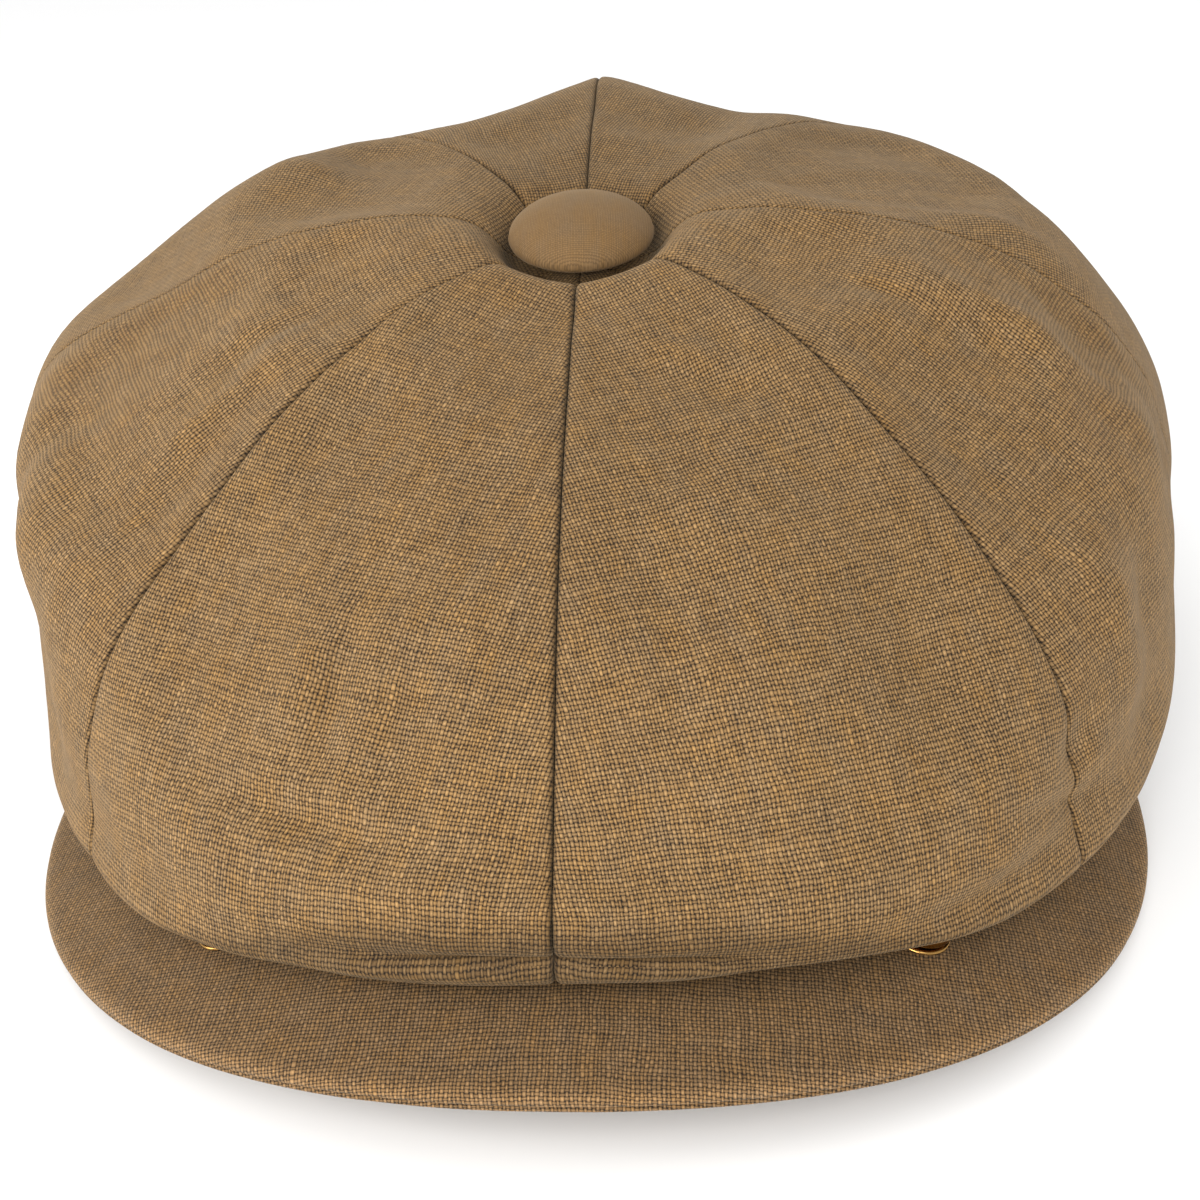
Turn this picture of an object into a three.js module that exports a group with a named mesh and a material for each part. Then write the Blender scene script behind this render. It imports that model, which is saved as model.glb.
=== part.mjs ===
// Eight-panel newsboy cap, millimetres, +Z up, visor towards -Y, +X to the right seen from the front.
// The crown is eight cloth panels and eight lining panels meeting at a covered button; its front hangs
// over the back half of a stiff visor and is held down to it by two brass press studs.
import * as THREE from "three";

const V = (x, y, z) => new THREE.Vector3(x, y, z);
const D2R = Math.PI / 180;

// ---------------------------------------------------------------- materials
const MAT = {
  linen: new THREE.MeshStandardMaterial({ name: "linen", color: 0x8c6d48, roughness: 0.95, metalness: 0 }),
  visor_linen: new THREE.MeshStandardMaterial({ name: "visor_linen", color: 0x7c6042, roughness: 0.95, metalness: 0 }),
  lining: new THREE.MeshStandardMaterial({ name: "lining", color: 0x54432f, roughness: 0.7, metalness: 0 }),
  sweatband: new THREE.MeshStandardMaterial({ name: "sweatband", color: 0x4a3826, roughness: 0.85, metalness: 0 }),
  board: new THREE.MeshStandardMaterial({ name: "board", color: 0x2c2a28, roughness: 0.6, metalness: 0 }),
  brass: new THREE.MeshStandardMaterial({ name: "brass", color: 0xb08a3e, roughness: 0.3, metalness: 1 }),
  tin: new THREE.MeshStandardMaterial({ name: "tin", color: 0x9a9a98, roughness: 0.4, metalness: 1 }),
};

// ---------------------------------------------------------------- crown surface
// Profiles of the crown at 0, 45, 90, 135 and 180 degrees from the front (front seam, front side seam,
// side seam, back side seam, back seam): distance from the apex axis and height, twelve levels each,
// from the middle of the dimple under the button to the edge sewn to the head band.
const APEX_Y = -26.3;
const RHO = [
  [0, 0, 0, 0, 0],
  [12.4, 12.4, 12, 12, 12],
  [26.4, 26.8, 26.5, 26.4, 26.6],
  [47.4, 48.2, 47.8, 47.8, 48],
  [68.4, 68.8, 69.6, 71, 71.8],
  [86.4, 87.6, 90.5, 95, 98],
  [100.4, 101.5, 106.5, 115.5, 122.5],
  [110.5, 110, 115, 133, 140.5],
  [115.6, 113, 118.5, 142, 150.8],
  [113.8, 112.6, 117.4, 142.5, 152],
  [103, 104.5, 107, 136, 146.5],
  [76.5, 79.5, 85.5, 117.5, 130],
];
const HGT = [
  [98, 98, 98, 98, 98],
  [98.6, 99.6, 101.6, 103.4, 104.2],
  [96.2, 101.5, 107.5, 111, 112.8],
  [87.5, 95.2, 106.3, 115.4, 119.4],
  [75.4, 83, 101.2, 115, 121.4],
  [60.6, 68, 91.8, 109.3, 116],
  [45.2, 52.3, 77.8, 95.5, 103.5],
  [33, 37.4, 60.8, 77.8, 85.5],
  [25.8, 24.5, 45.3, 60.6, 66.8],
  [22.2, 16, 32.3, 44, 48],
  [23.5, 18.2, 30, 33.5, 35],
  [48, 46, 40.5, 31.5, 27.8],
];
// How far each seam is turned towards the back from an even spacing, degrees (45, 90 and 135 seams).
const TURN = [
  [2.4, 0.4, 2], [2.7, 0.3, 2.5], [3.1, 0.3, 3], [3.4, 0.2, 3.4], [3.4, 0.1, 3.7], [3.3, 0.05, 4],
  [3.3, 0, 4.2], [3.1, 0, 3.2], [2.9, 0.1, 2.2], [2.7, 0.1, 1.1], [1.8, 0.1, 0.7], [1, 0.1, 0.4],
];
const LAST = RHO.length - 1;
const FULL = 2.2; // each panel stands this much fuller at its middle than at its seams

function inverse(m) {
  const n = m.length;
  const a = m.map((r, i) => [...r, ...r.map((_, j) => (i === j ? 1 : 0))]);
  for (let c = 0; c < n; c++) {
    let p = c;
    for (let r = c + 1; r < n; r++) if (Math.abs(a[r][c]) > Math.abs(a[p][c])) p = r;
    [a[c], a[p]] = [a[p], a[c]];
    const d = a[c][c];
    for (let j = 0; j < 2 * n; j++) a[c][j] /= d;
    for (let r = 0; r < n; r++)
      if (r !== c) {
        const k = a[r][c];
        for (let j = 0; j < 2 * n; j++) a[r][j] -= k * a[c][j];
      }
  }
  return a.map((r) => r.slice(n));
}
const COS = inverse([0, 45, 90, 135, 180].map((d) => [0, 1, 2, 3, 4].map((k) => Math.cos(k * d * D2R))));
const SIN = inverse([45, 90, 135].map((d) => [1, 2, 3].map((k) => Math.sin(k * d * D2R))));

function row(table, s) {
  const n = table.length;
  const i = Math.min(Math.max(Math.floor(s), 0), n - 2);
  const f = s - i;
  return table[0].map((_, c) => {
    const p1 = table[i][c], p2 = table[i + 1][c];
    const p0 = i === 0 ? 2 * p1 - p2 : table[i - 1][c];
    const p3 = i === n - 2 ? 2 * p2 - p1 : table[i + 2][c];
    return 0.5 * (2 * p1 + (p2 - p0) * f + (2 * p0 - 5 * p1 + 4 * p2 - p3) * f * f + (3 * p1 - p0 - 3 * p2 + p3) * f * f * f);
  });
}
const clamp01 = (v) => Math.min(Math.max(v, 0), 1);
const dot = (m, r, f) => m.reduce((acc, mr, k) => acc + f[k] * mr.reduce((a, v, j) => a + v * r[j], 0), 0);

// A point of the crown's outer face: psi runs round the cap in radians (0 at the front seam, seams every
// 45 degrees, positive to the right), s runs from the button (0) to the head band (LAST).
function crown(psi, s, full = FULL) {
  const c = [0, 1, 2, 3, 4].map((k) => Math.cos(k * psi));
  let rho = dot(COS, row(RHO, s), c);
  const z = dot(COS, row(HGT, s), c);
  const turn = dot(SIN, row(TURN, s), [1, 2, 3].map((k) => Math.sin(k * psi))) * D2R;
  rho += clamp01((s - 1.5) / 3) * clamp01((LAST + 0.5 - s) / 3) * full * (Math.abs(Math.sin(4 * psi)) - 0.5);
  return V(rho * Math.sin(psi + turn), APEX_Y - rho * Math.cos(psi + turn), z);
}
function crownNormal(psi, s) {
  const e = 1e-3;
  const a = crown(psi + e, s, 0).sub(crown(psi - e, s, 0));
  const b = crown(psi, Math.min(s + e, LAST), 0).sub(crown(psi, Math.max(s - e, 0), 0));
  return b.cross(a).normalize();
}

// ---------------------------------------------------------------- mesh helpers
const root = new THREE.Group();
root.name = "newsboy_cap";

// Everything below is laid out from the head band's centre; this brings the whole cap's middle to y = 0.
const SHIFT_Y = 15.5;
function solid(name, mat, verts, tris) {
  let vol = 0;
  for (const [a, b, c] of tris) vol += verts[a].dot(verts[b].clone().cross(verts[c]));
  const pos = new Float32Array(verts.length * 3);
  verts.forEach((v, i) => pos.set([v.x, v.y + SHIFT_Y, v.z], 3 * i));
  const index = tris.flatMap(([a, b, c]) => (vol > 0 ? [a, b, c] : [a, c, b]));
  const g = new THREE.BufferGeometry();
  g.setAttribute("position", new THREE.BufferAttribute(pos, 3));
  g.setIndex(index);
  g.computeVertexNormals();
  const m = new THREE.Mesh(g, mat);
  m.name = name;
  root.add(m);
  return m;
}
// A sheet with thickness: outer and inner faces on the same grid, closed along all four edges.
function sheet(name, mat, nu, nv, outer, inner) {
  const verts = [];
  const id = (i, j) => i * (nv + 1) + j;
  for (const f of [outer, inner]) for (let i = 0; i <= nu; i++) for (let j = 0; j <= nv; j++) verts.push(f(i, j));
  const N = (nu + 1) * (nv + 1);
  const tris = [];
  for (let i = 0; i < nu; i++)
    for (let j = 0; j < nv; j++) {
      const [a, b, c, d] = [id(i, j), id(i + 1, j), id(i + 1, j + 1), id(i, j + 1)];
      tris.push([a, b, c], [a, c, d], [N + a, N + c, N + b], [N + a, N + d, N + c]);
    }
  const wall = (a, b) => tris.push([b, a, N + a], [b, N + a, N + b]);
  for (let i = 0; i < nu; i++) {
    wall(id(i, 0), id(i + 1, 0));
    wall(id(i + 1, nv), id(i, nv));
  }
  for (let j = 0; j < nv; j++) {
    wall(id(nu, j), id(nu, j + 1));
    wall(id(0, j + 1), id(0, j));
  }
  return solid(name, mat, verts, tris);
}
// A closed section carried along stations; closed like a ring, or with flat ends.
function sweep(name, mat, sections, closed, flat) {
  const n = sections.length, m = sections[0].length;
  const verts = sections.flat();
  const tris = [];
  for (let i = 0; i < (closed ? n : n - 1); i++)
    for (let j = 0; j < m; j++) {
      const a = i * m + j, b = i * m + ((j + 1) % m), c = ((i + 1) % n) * m + ((j + 1) % m), d = ((i + 1) % n) * m + j;
      tris.push([a, b, c], [a, c, d]);
    }
  if (!closed) {
    const whole = THREE.ShapeUtils.area(flat);
    for (const tri of THREE.ShapeUtils.triangulateShape(flat, [])) {
      const forward = THREE.ShapeUtils.area(tri.map((i) => flat[i])) * whole > 0;
      const [a, b, c] = forward ? tri : [tri[0], tri[2], tri[1]];
      tris.push([a, c, b], [(n - 1) * m + a, (n - 1) * m + b, (n - 1) * m + c]);
    }
  }
  return solid(name, mat, verts, tris);
}
// A turned piece: profile [r, h] from the axis back to the axis (or a closed loop off the axis).
function turned(name, mat, profile, at, axis, n = 32) {
  const q = new THREE.Quaternion().setFromUnitVectors(V(0, 0, 1), axis.clone().normalize());
  const put = (r, h, k) => V(r * Math.cos((2 * Math.PI * k) / n), r * Math.sin((2 * Math.PI * k) / n), h).applyQuaternion(q).add(at);
  const loop = profile[0][0] > 1e-6;
  const verts = [], start = [];
  for (const [r, h] of profile) {
    start.push(verts.length);
    if (r < 1e-6) verts.push(put(0, h, 0));
    else for (let k = 0; k < n; k++) verts.push(put(r, h, k));
  }
  const tris = [];
  const m = profile.length;
  for (let i = 0; i < (loop ? m : m - 1); i++) {
    const j = (i + 1) % m;
    const pa = profile[i][0] < 1e-6, pb = profile[j][0] < 1e-6;
    for (let k = 0; k < n; k++) {
      const k1 = (k + 1) % n;
      const a = pa ? start[i] : start[i] + k, a1 = pa ? start[i] : start[i] + k1;
      const b = pb ? start[j] : start[j] + k, b1 = pb ? start[j] : start[j] + k1;
      if (!pa) tris.push([a, a1, b]);
      if (!pb) tris.push([a1, b1, b]);
    }
  }
  return solid(name, mat, verts, tris);
}

// ---------------------------------------------------------------- crown panels and lining
const PANELS = [
  ["front_right", 0], ["side_front_right", 1], ["side_back_right", 2], ["back_right", 3],
  ["back_left", -4], ["side_back_left", -3], ["side_front_left", -2], ["front_left", -1],
];
const CLOTH = 1.5, GAP = 0.17;
const S_CLOTH = [0.4, 0.75, 1.1, 1.6, 2.2, 3, 3.8, 4.6, 5.4, 6.2, 6.9, 7.5, 8, 8.4, 8.8, 9.2, 9.6, 10.1, 10.6, 11];
// Moves a point of a panel's edge off the seam line, so that neighbouring panels keep a small gap.
function offSeam(p, psi0, psi1, t, s) {
  const psi = psi0 + (psi1 - psi0) * t;
  const along = crown(psi + 1e-3, s, 0).sub(crown(psi - 1e-3, s, 0)).normalize();
  return p.add(along.multiplyScalar((t === 0 ? 1 : t === 1 ? -1 : 0) * GAP));
}
for (const [name, k] of PANELS) {
  const a = k * 45 * D2R, b = (k + 1) * 45 * D2R, nu = 6, nv = S_CLOTH.length - 1;
  const at = (i, j, depth) => {
    const t = i / nu, s = S_CLOTH[j], psi = a + (b - a) * t;
    return offSeam(crown(psi, s).addScaledVector(crownNormal(psi, s), -depth), a, b, t, s);
  };
  sheet("crown_panel_" + name, MAT.linen, nu, nv, (i, j) => at(i, j, 0), (i, j) => at(i, j, CLOTH));
}
// The lining follows the cloth inside the upper crown, then hangs in an easy curve to the head band.
const S_LINE = [0.55, 1.1, 1.9, 2.8, 3.7, 4.5, 5.3, 6.1, 6.9, 7.9, 8.9, 9.9, 11];
const LINE_DEPTH = 3.6, LINE_THICK = 0.8;
// Under the dimple it hangs straight below the cloth; further out it lies square to it.
function within(psi, s, depth) {
  const w = clamp01((s - 0.8) / 1.8);
  const out = V(0, 0, 1).lerp(crownNormal(psi, s), w * w * (3 - 2 * w)).normalize();
  return crown(psi, s, 0).addScaledVector(out, -depth);
}
function lining(psi, s) {
  const leave = 5.45 - 1.05 * Math.cos(psi); // level where it leaves the cloth: high at the front, low at the back
  if (s <= leave) return within(psi, s, LINE_DEPTH);
  const f = Math.min((s - leave) / (LAST - leave), 1);
  const top = within(psi, leave, LINE_DEPTH), end = within(psi, LAST, LINE_DEPTH);
  const chord = end.clone().sub(top);
  const m0 = within(psi, leave, LINE_DEPTH).sub(within(psi, leave - 0.02, LINE_DEPTH)).setLength(0.8 * chord.length());
  const f2 = f * f, f3 = f2 * f;
  return top.multiplyScalar(2 * f3 - 3 * f2 + 1).addScaledVector(m0, f3 - 2 * f2 + f)
    .addScaledVector(end, 3 * f2 - 2 * f3).addScaledVector(chord, f3 - f2);
}
function liningNormal(psi, s) {
  const a = lining(psi + 1e-3, s).sub(lining(psi - 1e-3, s));
  const b = lining(psi, Math.min(s + 0.02, LAST)).sub(lining(psi, s - 0.02));
  return b.cross(a).normalize();
}
for (const [name, k] of PANELS) {
  const a = k * 45 * D2R, b = (k + 1) * 45 * D2R, nu = 4, nv = S_LINE.length - 1;
  const at = (i, j, side) => {
    const t = i / nu, s = S_LINE[j], psi = a + (b - a) * t;
    return offSeam(lining(psi, s).addScaledVector(liningNormal(psi, s), (side * LINE_THICK) / 2), a, b, t, s);
  };
  sheet("lining_panel_" + name, MAT.lining, nu, nv, (i, j) => at(i, j, 1), (i, j) => at(i, j, -1));
}

// ---------------------------------------------------------------- head band and sweatband
// The band's lower rim lies in one tilted plane, 20 mm up at the front and on the table at the back.
const rim = (y) => 10 - (10 / 102) * y;
function band(name, mat, rx, ry, thick, low, high, n) {
  const sections = [];
  for (let i = 0; i < n; i++) {
    const t = (2 * Math.PI * i) / n;
    const at = (o, h) => {
      const x = (rx - o) * Math.sin(t), y = -(ry - o) * Math.cos(t);
      return V(x, y, rim(y) + h);
    };
    sections.push([at(0, low), at(0, high), at(thick, high), at(thick, low)]);
  }
  return sweep(name, mat, sections, true);
}
band("head_band", MAT.linen, 86, 102, 1.6, 0, 26, 56);
band("sweatband", MAT.sweatband, 83.9, 99.9, 1.2, 0, 25, 56);

// ---------------------------------------------------------------- visor
// Arched across (cylinder of 290 mm radius, sides drooping) and pitched 5 degrees down to the front.
const visorZ = (x, y) => 20 + (y + 102) * Math.tan(5 * D2R) - (x * x) / 580;
const A = 105, B = 97.6, NEXP = 2.1, YF = -156;
function outerEdge(t) {
  // t from -1 (left corner) to 1 (right corner)
  const s = Math.sign(t), u = Math.abs(t);
  if (u <= 0.84) {
    const th = (u / 0.84) * (Math.PI / 2);
    return [s * A * Math.sin(th) ** (2 / NEXP), YF + B - B * Math.cos(th) ** (2 / NEXP)];
  }
  const al = ((u - 0.84) / 0.16) * 72 * D2R;
  return [s * (79.5 + 25.5 * Math.cos(al)), YF + B + 17.5 * Math.sin(al)];
}
function innerEdge(t, clear) {
  const th = t * 66.2 * D2R;
  return [(86 + clear) * Math.sin(th), -(102 + clear) * Math.cos(th)];
}
const N_VISOR = 36;
// A section of the visor at t: points given as [inset from the outer edge in mm or fraction, depth].
function visorPoint(t, clear, inset, frac, depth) {
  const [ox, oy] = outerEdge(t), [ix, iy] = innerEdge(t, clear);
  const len = Math.hypot(ox - ix, oy - iy);
  const f = frac === null ? 1 - inset / len : frac * (1 - inset / len);
  const x = ix + (ox - ix) * f, y = iy + (oy - iy) * f;
  return V(x, y, visorZ(x, y) - depth);
}
function visorSheet(name, mat, profile) {
  const sections = [];
  for (let i = 0; i <= N_VISOR; i++) {
    const t = -1 + (2 * i) / N_VISOR;
    sections.push(profile.map(([inset, frac, depth]) => visorPoint(t, 0.5, inset, frac, depth)));
  }
  const flat = profile.map(([inset, frac, depth]) => new THREE.Vector2((frac === null ? 1 : frac) * 40 - inset, -depth));
  return sweep(name, mat, sections, false, flat);
}
// [inset, frac, depth]: the top cloth rolls over the edge and turns in below the under cloth's edge.
visorSheet("visor_top_cover", MAT.visor_linen, [
  [0, 0, 0], [0, 0.34, 0], [0, 0.67, 0], [1.6, null, 0], [0.5, null, 0.45], [0, null, 1.4], [0, null, 2.9], [0.5, null, 3.7],
  [1.4, null, 4], [1.4, null, 3.1], [1.1, null, 2.8], [1.1, null, 1.5], [1.9, null, 0.9], [1.9, 0.67, 0.9], [1.9, 0.34, 0.9], [1.9, 0, 0.9],
]);
visorSheet("visor_board", MAT.board, [
  [1.5, 0, 1.2], [1.5, 0.34, 1.2], [1.5, 0.67, 1.2], [2, null, 1.2], [1.5, null, 1.6], [1.5, null, 2.6], [2, null, 2.9],
  [1.5, 0.67, 2.9], [1.5, 0.34, 2.9], [1.5, 0, 2.9],
]);
visorSheet("visor_under_cover", MAT.visor_linen, [
  [1.8, 0, 3.2], [1.8, 0.34, 3.2], [1.8, 0.67, 3.2], [1.8, null, 3.2], [1.8, null, 4], [1.8, 0.67, 4], [1.8, 0.34, 4], [1.8, 0, 4],
]);

// ---------------------------------------------------------------- covered button
const BTN = V(0, APEX_Y - 0.6, 105.4), BTN_AXIS = V(0, -Math.sin(14 * D2R), Math.cos(14 * D2R));
// cloth cover, drawn over the shell and gathered in under its rim
turned("button_cover", MAT.linen, [
  [0, 5.0], [4.5, 4.6], [8.6, 3.6], [12, 1.9], [13.9, 0], [14.3, -1.2], [13.6, -2.2], [11, -2.4], [11, -1.7], [13, -1.5], [13.4, -0.9],
  [13, -0.1], [11.3, 1.5], [8.2, 2.9], [4.2, 3.8], [0, 4.2],
], BTN, BTN_AXIS, 30);
// pressed metal shell inside the cloth
turned("button_shell", MAT.tin, [
  [0, 3.85], [4.1, 3.45], [8, 2.55], [11, 1.2], [12.6, -0.3], [12.8, -1.1], [12.1, -1.15], [10.6, 0.5], [7.6, 1.9], [3.9, 2.8], [0, 3.2],
], BTN, BTN_AXIS, 24);
// back plate with the shank that passes through the meeting point of the panels
turned("button_back", MAT.tin, [
  [0, -0.6], [10.2, -0.6], [10.2, -1.6], [1.5, -1.6], [1.5, -11.2], [0, -11.2],
], BTN, BTN_AXIS, 24);
// washer that keeps the shank inside the crown
turned("button_washer", MAT.tin, [
  [1.9, -10.4], [5.6, -10.4], [5.6, -11.2], [1.9, -11.2],
], BTN, BTN_AXIS, 24);

// ---------------------------------------------------------------- press studs
for (const [side, sx] of [["left", -1], ["right", 1]]) {
  const x = sx * 56, y = -118.5;
  const n = V(x / 290, -Math.tan(5 * D2R), 1).normalize();
  const p = V(x, y, visorZ(x, y));
  // stud: flange on the visor cloth with a ball on top
  turned("snap_stud_" + side, MAT.brass, [
    [0, 0.3], [4.6, 0.3], [4.9, 0.6], [4.6, 1.0], [2.1, 1.15], [1.5, 1.5], [1.8, 2.0], [1.4, 2.5], [0, 2.6],
  ], p, n, 20);
  // socket: cap on the crown's underside with a recess for the ball
  turned("snap_socket_" + side, MAT.brass, [
    [0, 2.95], [3.1, 2.95], [3.1, 1.6], [4.4, 1.6], [4.8, 2.0], [4.8, 3.2], [4.3, 3.6], [0, 3.6],
  ], p, n, 20);
}

export default root;
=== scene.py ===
import math
import bpy
import numpy as np
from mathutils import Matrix, Quaternion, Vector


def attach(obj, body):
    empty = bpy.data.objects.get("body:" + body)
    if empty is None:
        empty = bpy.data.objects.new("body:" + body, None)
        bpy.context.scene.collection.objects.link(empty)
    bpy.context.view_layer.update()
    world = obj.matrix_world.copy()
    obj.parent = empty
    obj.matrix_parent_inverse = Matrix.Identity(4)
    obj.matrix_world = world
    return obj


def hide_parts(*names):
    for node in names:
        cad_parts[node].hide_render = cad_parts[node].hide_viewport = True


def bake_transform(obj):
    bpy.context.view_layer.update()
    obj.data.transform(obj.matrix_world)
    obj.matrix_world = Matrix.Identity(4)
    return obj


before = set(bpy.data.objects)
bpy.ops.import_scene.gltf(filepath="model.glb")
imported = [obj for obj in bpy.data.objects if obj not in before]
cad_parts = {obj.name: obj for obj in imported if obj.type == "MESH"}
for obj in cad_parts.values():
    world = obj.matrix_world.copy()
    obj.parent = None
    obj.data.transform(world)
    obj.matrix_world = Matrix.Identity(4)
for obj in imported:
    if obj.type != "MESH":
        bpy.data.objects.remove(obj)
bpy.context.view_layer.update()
MM = 0.001
SHIFT_Y = 15.5
D2R = math.pi / 180
rng = np.random.default_rng(11)

# ------------------------------------------------------------------ crown surface (same tables as the CAD)
APEX_Y = -26.3
RHO = np.array([
    [0, 0, 0, 0, 0], [12.4, 12.4, 12, 12, 12], [26.4, 26.8, 26.5, 26.4, 26.6], [47.4, 48.2, 47.8, 47.8, 48],
    [68.4, 68.8, 69.6, 71, 71.8], [86.4, 87.6, 90.5, 95, 98], [100.4, 101.5, 106.5, 115.5, 122.5],
    [110.5, 110, 115, 133, 140.5], [115.6, 113, 118.5, 142, 150.8], [113.8, 112.6, 117.4, 142.5, 152],
    [103, 104.5, 107, 136, 146.5], [76.5, 79.5, 85.5, 117.5, 130]], float)
HGT = np.array([
    [98, 98, 98, 98, 98], [98.6, 99.6, 101.6, 103.4, 104.2], [96.2, 101.5, 107.5, 111, 112.8],
    [87.5, 95.2, 106.3, 115.4, 119.4], [75.4, 83, 101.2, 115, 121.4], [60.6, 68, 91.8, 109.3, 116],
    [45.2, 52.3, 77.8, 95.5, 103.5], [33, 37.4, 60.8, 77.8, 85.5], [25.8, 24.5, 45.3, 60.6, 66.8],
    [22.2, 16, 32.3, 44, 48], [23.5, 18.2, 30, 33.5, 35], [48, 46, 40.5, 31.5, 27.8]], float)
TURN = np.array([
    [2.4, 0.4, 2], [2.7, 0.3, 2.5], [3.1, 0.3, 3], [3.4, 0.2, 3.4], [3.4, 0.1, 3.7], [3.3, 0.05, 4],
    [3.3, 0, 4.2], [3.1, 0, 3.2], [2.9, 0.1, 2.2], [2.7, 0.1, 1.1], [1.8, 0.1, 0.7], [1, 0.1, 0.4]], float)
LAST = len(RHO) - 1
FULL = 2.2
COS = np.linalg.inv(np.array([[math.cos(k * d * D2R) for k in range(5)] for d in (0, 45, 90, 135, 180)]))
SIN = np.linalg.inv(np.array([[math.sin(k * d * D2R) for k in (1, 2, 3)] for d in (45, 90, 135)]))


def rows(table, s):
    n = len(table)
    i = np.clip(np.floor(s).astype(int), 0, n - 2)
    f = (s - i)[..., None]
    p1, p2 = table[i], table[i + 1]
    p0 = np.where((i == 0)[..., None], 2 * p1 - p2, table[np.maximum(i - 1, 0)])
    p3 = np.where((i == n - 2)[..., None], 2 * p2 - p1, table[np.minimum(i + 2, n - 1)])
    return 0.5 * (2 * p1 + (p2 - p0) * f + (2 * p0 - 5 * p1 + 4 * p2 - p3) * f ** 2 + (3 * p1 - p0 - 3 * p2 + p3) * f ** 3)


def smooth(x, a, b):
    t = np.clip((x - a) / (b - a), 0, 1)
    return t * t * (3 - 2 * t)


def crown(psi, s, full=FULL):
    """Outer face of the crown, mm, in the CAD's layout frame (before the shift along y)."""
    psi, s = np.broadcast_arrays(np.asarray(psi, float), np.asarray(s, float))
    b = np.stack([np.cos(k * psi) for k in range(5)], -1)
    rho = ((rows(RHO, s) @ COS.T) * b).sum(-1)
    z = ((rows(HGT, s) @ COS.T) * b).sum(-1)
    c = np.stack([np.sin(k * psi) for k in (1, 2, 3)], -1)
    phi = psi + ((rows(TURN, s) @ SIN.T) * c).sum(-1) * D2R
    rho = rho + np.clip((s - 1.5) / 3, 0, 1) * np.clip((LAST + 0.5 - s) / 3, 0, 1) * full * (np.abs(np.sin(4 * psi)) - 0.5)
    return np.stack([rho * np.sin(phi), APEX_Y - rho * np.cos(phi), z], -1)


def unit(v):
    return v / np.maximum(np.linalg.norm(v, axis=-1, keepdims=True), 1e-12)


# How far the worn-in cloth stands off that even shape, mm along its normal: one row every 22.5 degrees
# round the cap from the front seam towards the right, one column a level from 1 to 11.
SLACK = np.array([
    [0.1, 0.1, 0.1, 0.1, 0.2, 0.4, 0.4, 0, -1.2, 1.6, 0.6], [0.1, 0.2, 0.1, 0, 0.3, 0.6, 0.3, -1.3, -1.3, 0.5, 0.8],
    [0.2, 0.4, 0, -0.2, 0.4, 1.3, 1.1, -0.2, 2.2, 1.2, 0.6], [0.1, 0.1, 0, 0, 0, -0.1, -1.3, -0.8, 1.2, 0.8, 0.4],
    [0, 0.2, -0.1, 0.2, -0.4, -1.1, -1.2, -1.3, 0.4, 0.4, 0.2], [-0.2, -0.2, -0.3, 0, 0.8, -1.4, 0.6, 0.2, 0.1, 0.2, 0],
    [-0.5, -0.6, -0.9, -2.1, -1.8, -1.1, -0.5, -0.3, 0.2, 0, 0], [-0.5, -0.7, -1.2, -3.4, -3.8, -1.6, -0.9, -0.3, 0.3, 0, 0],
    [-0.3, -0.4, -0.7, 0.1, -1.7, -1.4, -0.9, -0.4, 0, 0, 0], [-0.1, -0.3, -0.8, -2.6, -3.1, -1.6, -1, -0.4, 0.2, 0, 0],
    [0.3, 0.3, -0.4, -2.2, -3.1, -1.4, -0.8, -0.4, 0.2, 0, 0], [0.2, 0.2, 0.3, 2.9, -0.8, -1.1, -0.4, -0.3, 0, 0, 0],
    [0.1, 0, -0.4, -0.2, -0.4, 2.8, 0.7, -0.7, -0.7, -0.3, 0], [0, 0, -0.2, -0.1, 0.2, 2, -1.1, -2.6, -1.6, -0.1, 0.1],
    [0, 0, -0.3, -0.2, -0.6, 1.3, 0.3, -0.3, 1.9, 0.8, 0.4], [0, 0, -0.1, -0.1, 0, 0.4, 0.1, -0.9, 0.1, 1.2, 0.6]], float)


def cubic(f):
    return (0.5 * (-f + 2 * f * f - f ** 3), 0.5 * (2 - 5 * f * f + 3 * f ** 3),
            0.5 * (f + 4 * f * f - 3 * f ** 3), 0.5 * (-f * f + f ** 3))


def slack(psi, s):
    psi, s = np.broadcast_arrays(np.asarray(psi, float), np.asarray(s, float))
    n, m = SLACK.shape
    u = (psi % (2 * math.pi)) / (2 * math.pi) * n
    v = np.clip(s - 1, 0, m - 1 - 1e-9)
    iu, iv = np.floor(u).astype(int), np.floor(v).astype(int)
    fu, fv = u - iu, v - iv
    w = [lambda f: 0.5 * (-f + 2 * f * f - f ** 3), lambda f: 0.5 * (2 - 5 * f * f + 3 * f ** 3),
         lambda f: 0.5 * (f + 4 * f * f - 3 * f ** 3), lambda f: 0.5 * (-f * f + f ** 3)]
    out = 0.0
    for a in range(4):
        for b in range(4):
            out = out + w[a](fu) * w[b](fv) * SLACK[(iu + a - 1) % n, np.clip(iv + b - 1, 0, m - 1)]
    return out * np.clip((s - 0.8) / 1.0, 0, 1) * np.clip((LAST - s) / 1.2, 0, 1)


def crown_normal(psi, s):
    e = 1e-3
    a = crown(psi + e, s, 0) - crown(psi - e, s, 0)
    b = crown(psi, np.minimum(s + e, LAST), 0) - crown(psi, np.maximum(s - e, 0.0), 0)
    return unit(np.cross(b, a))


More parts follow.
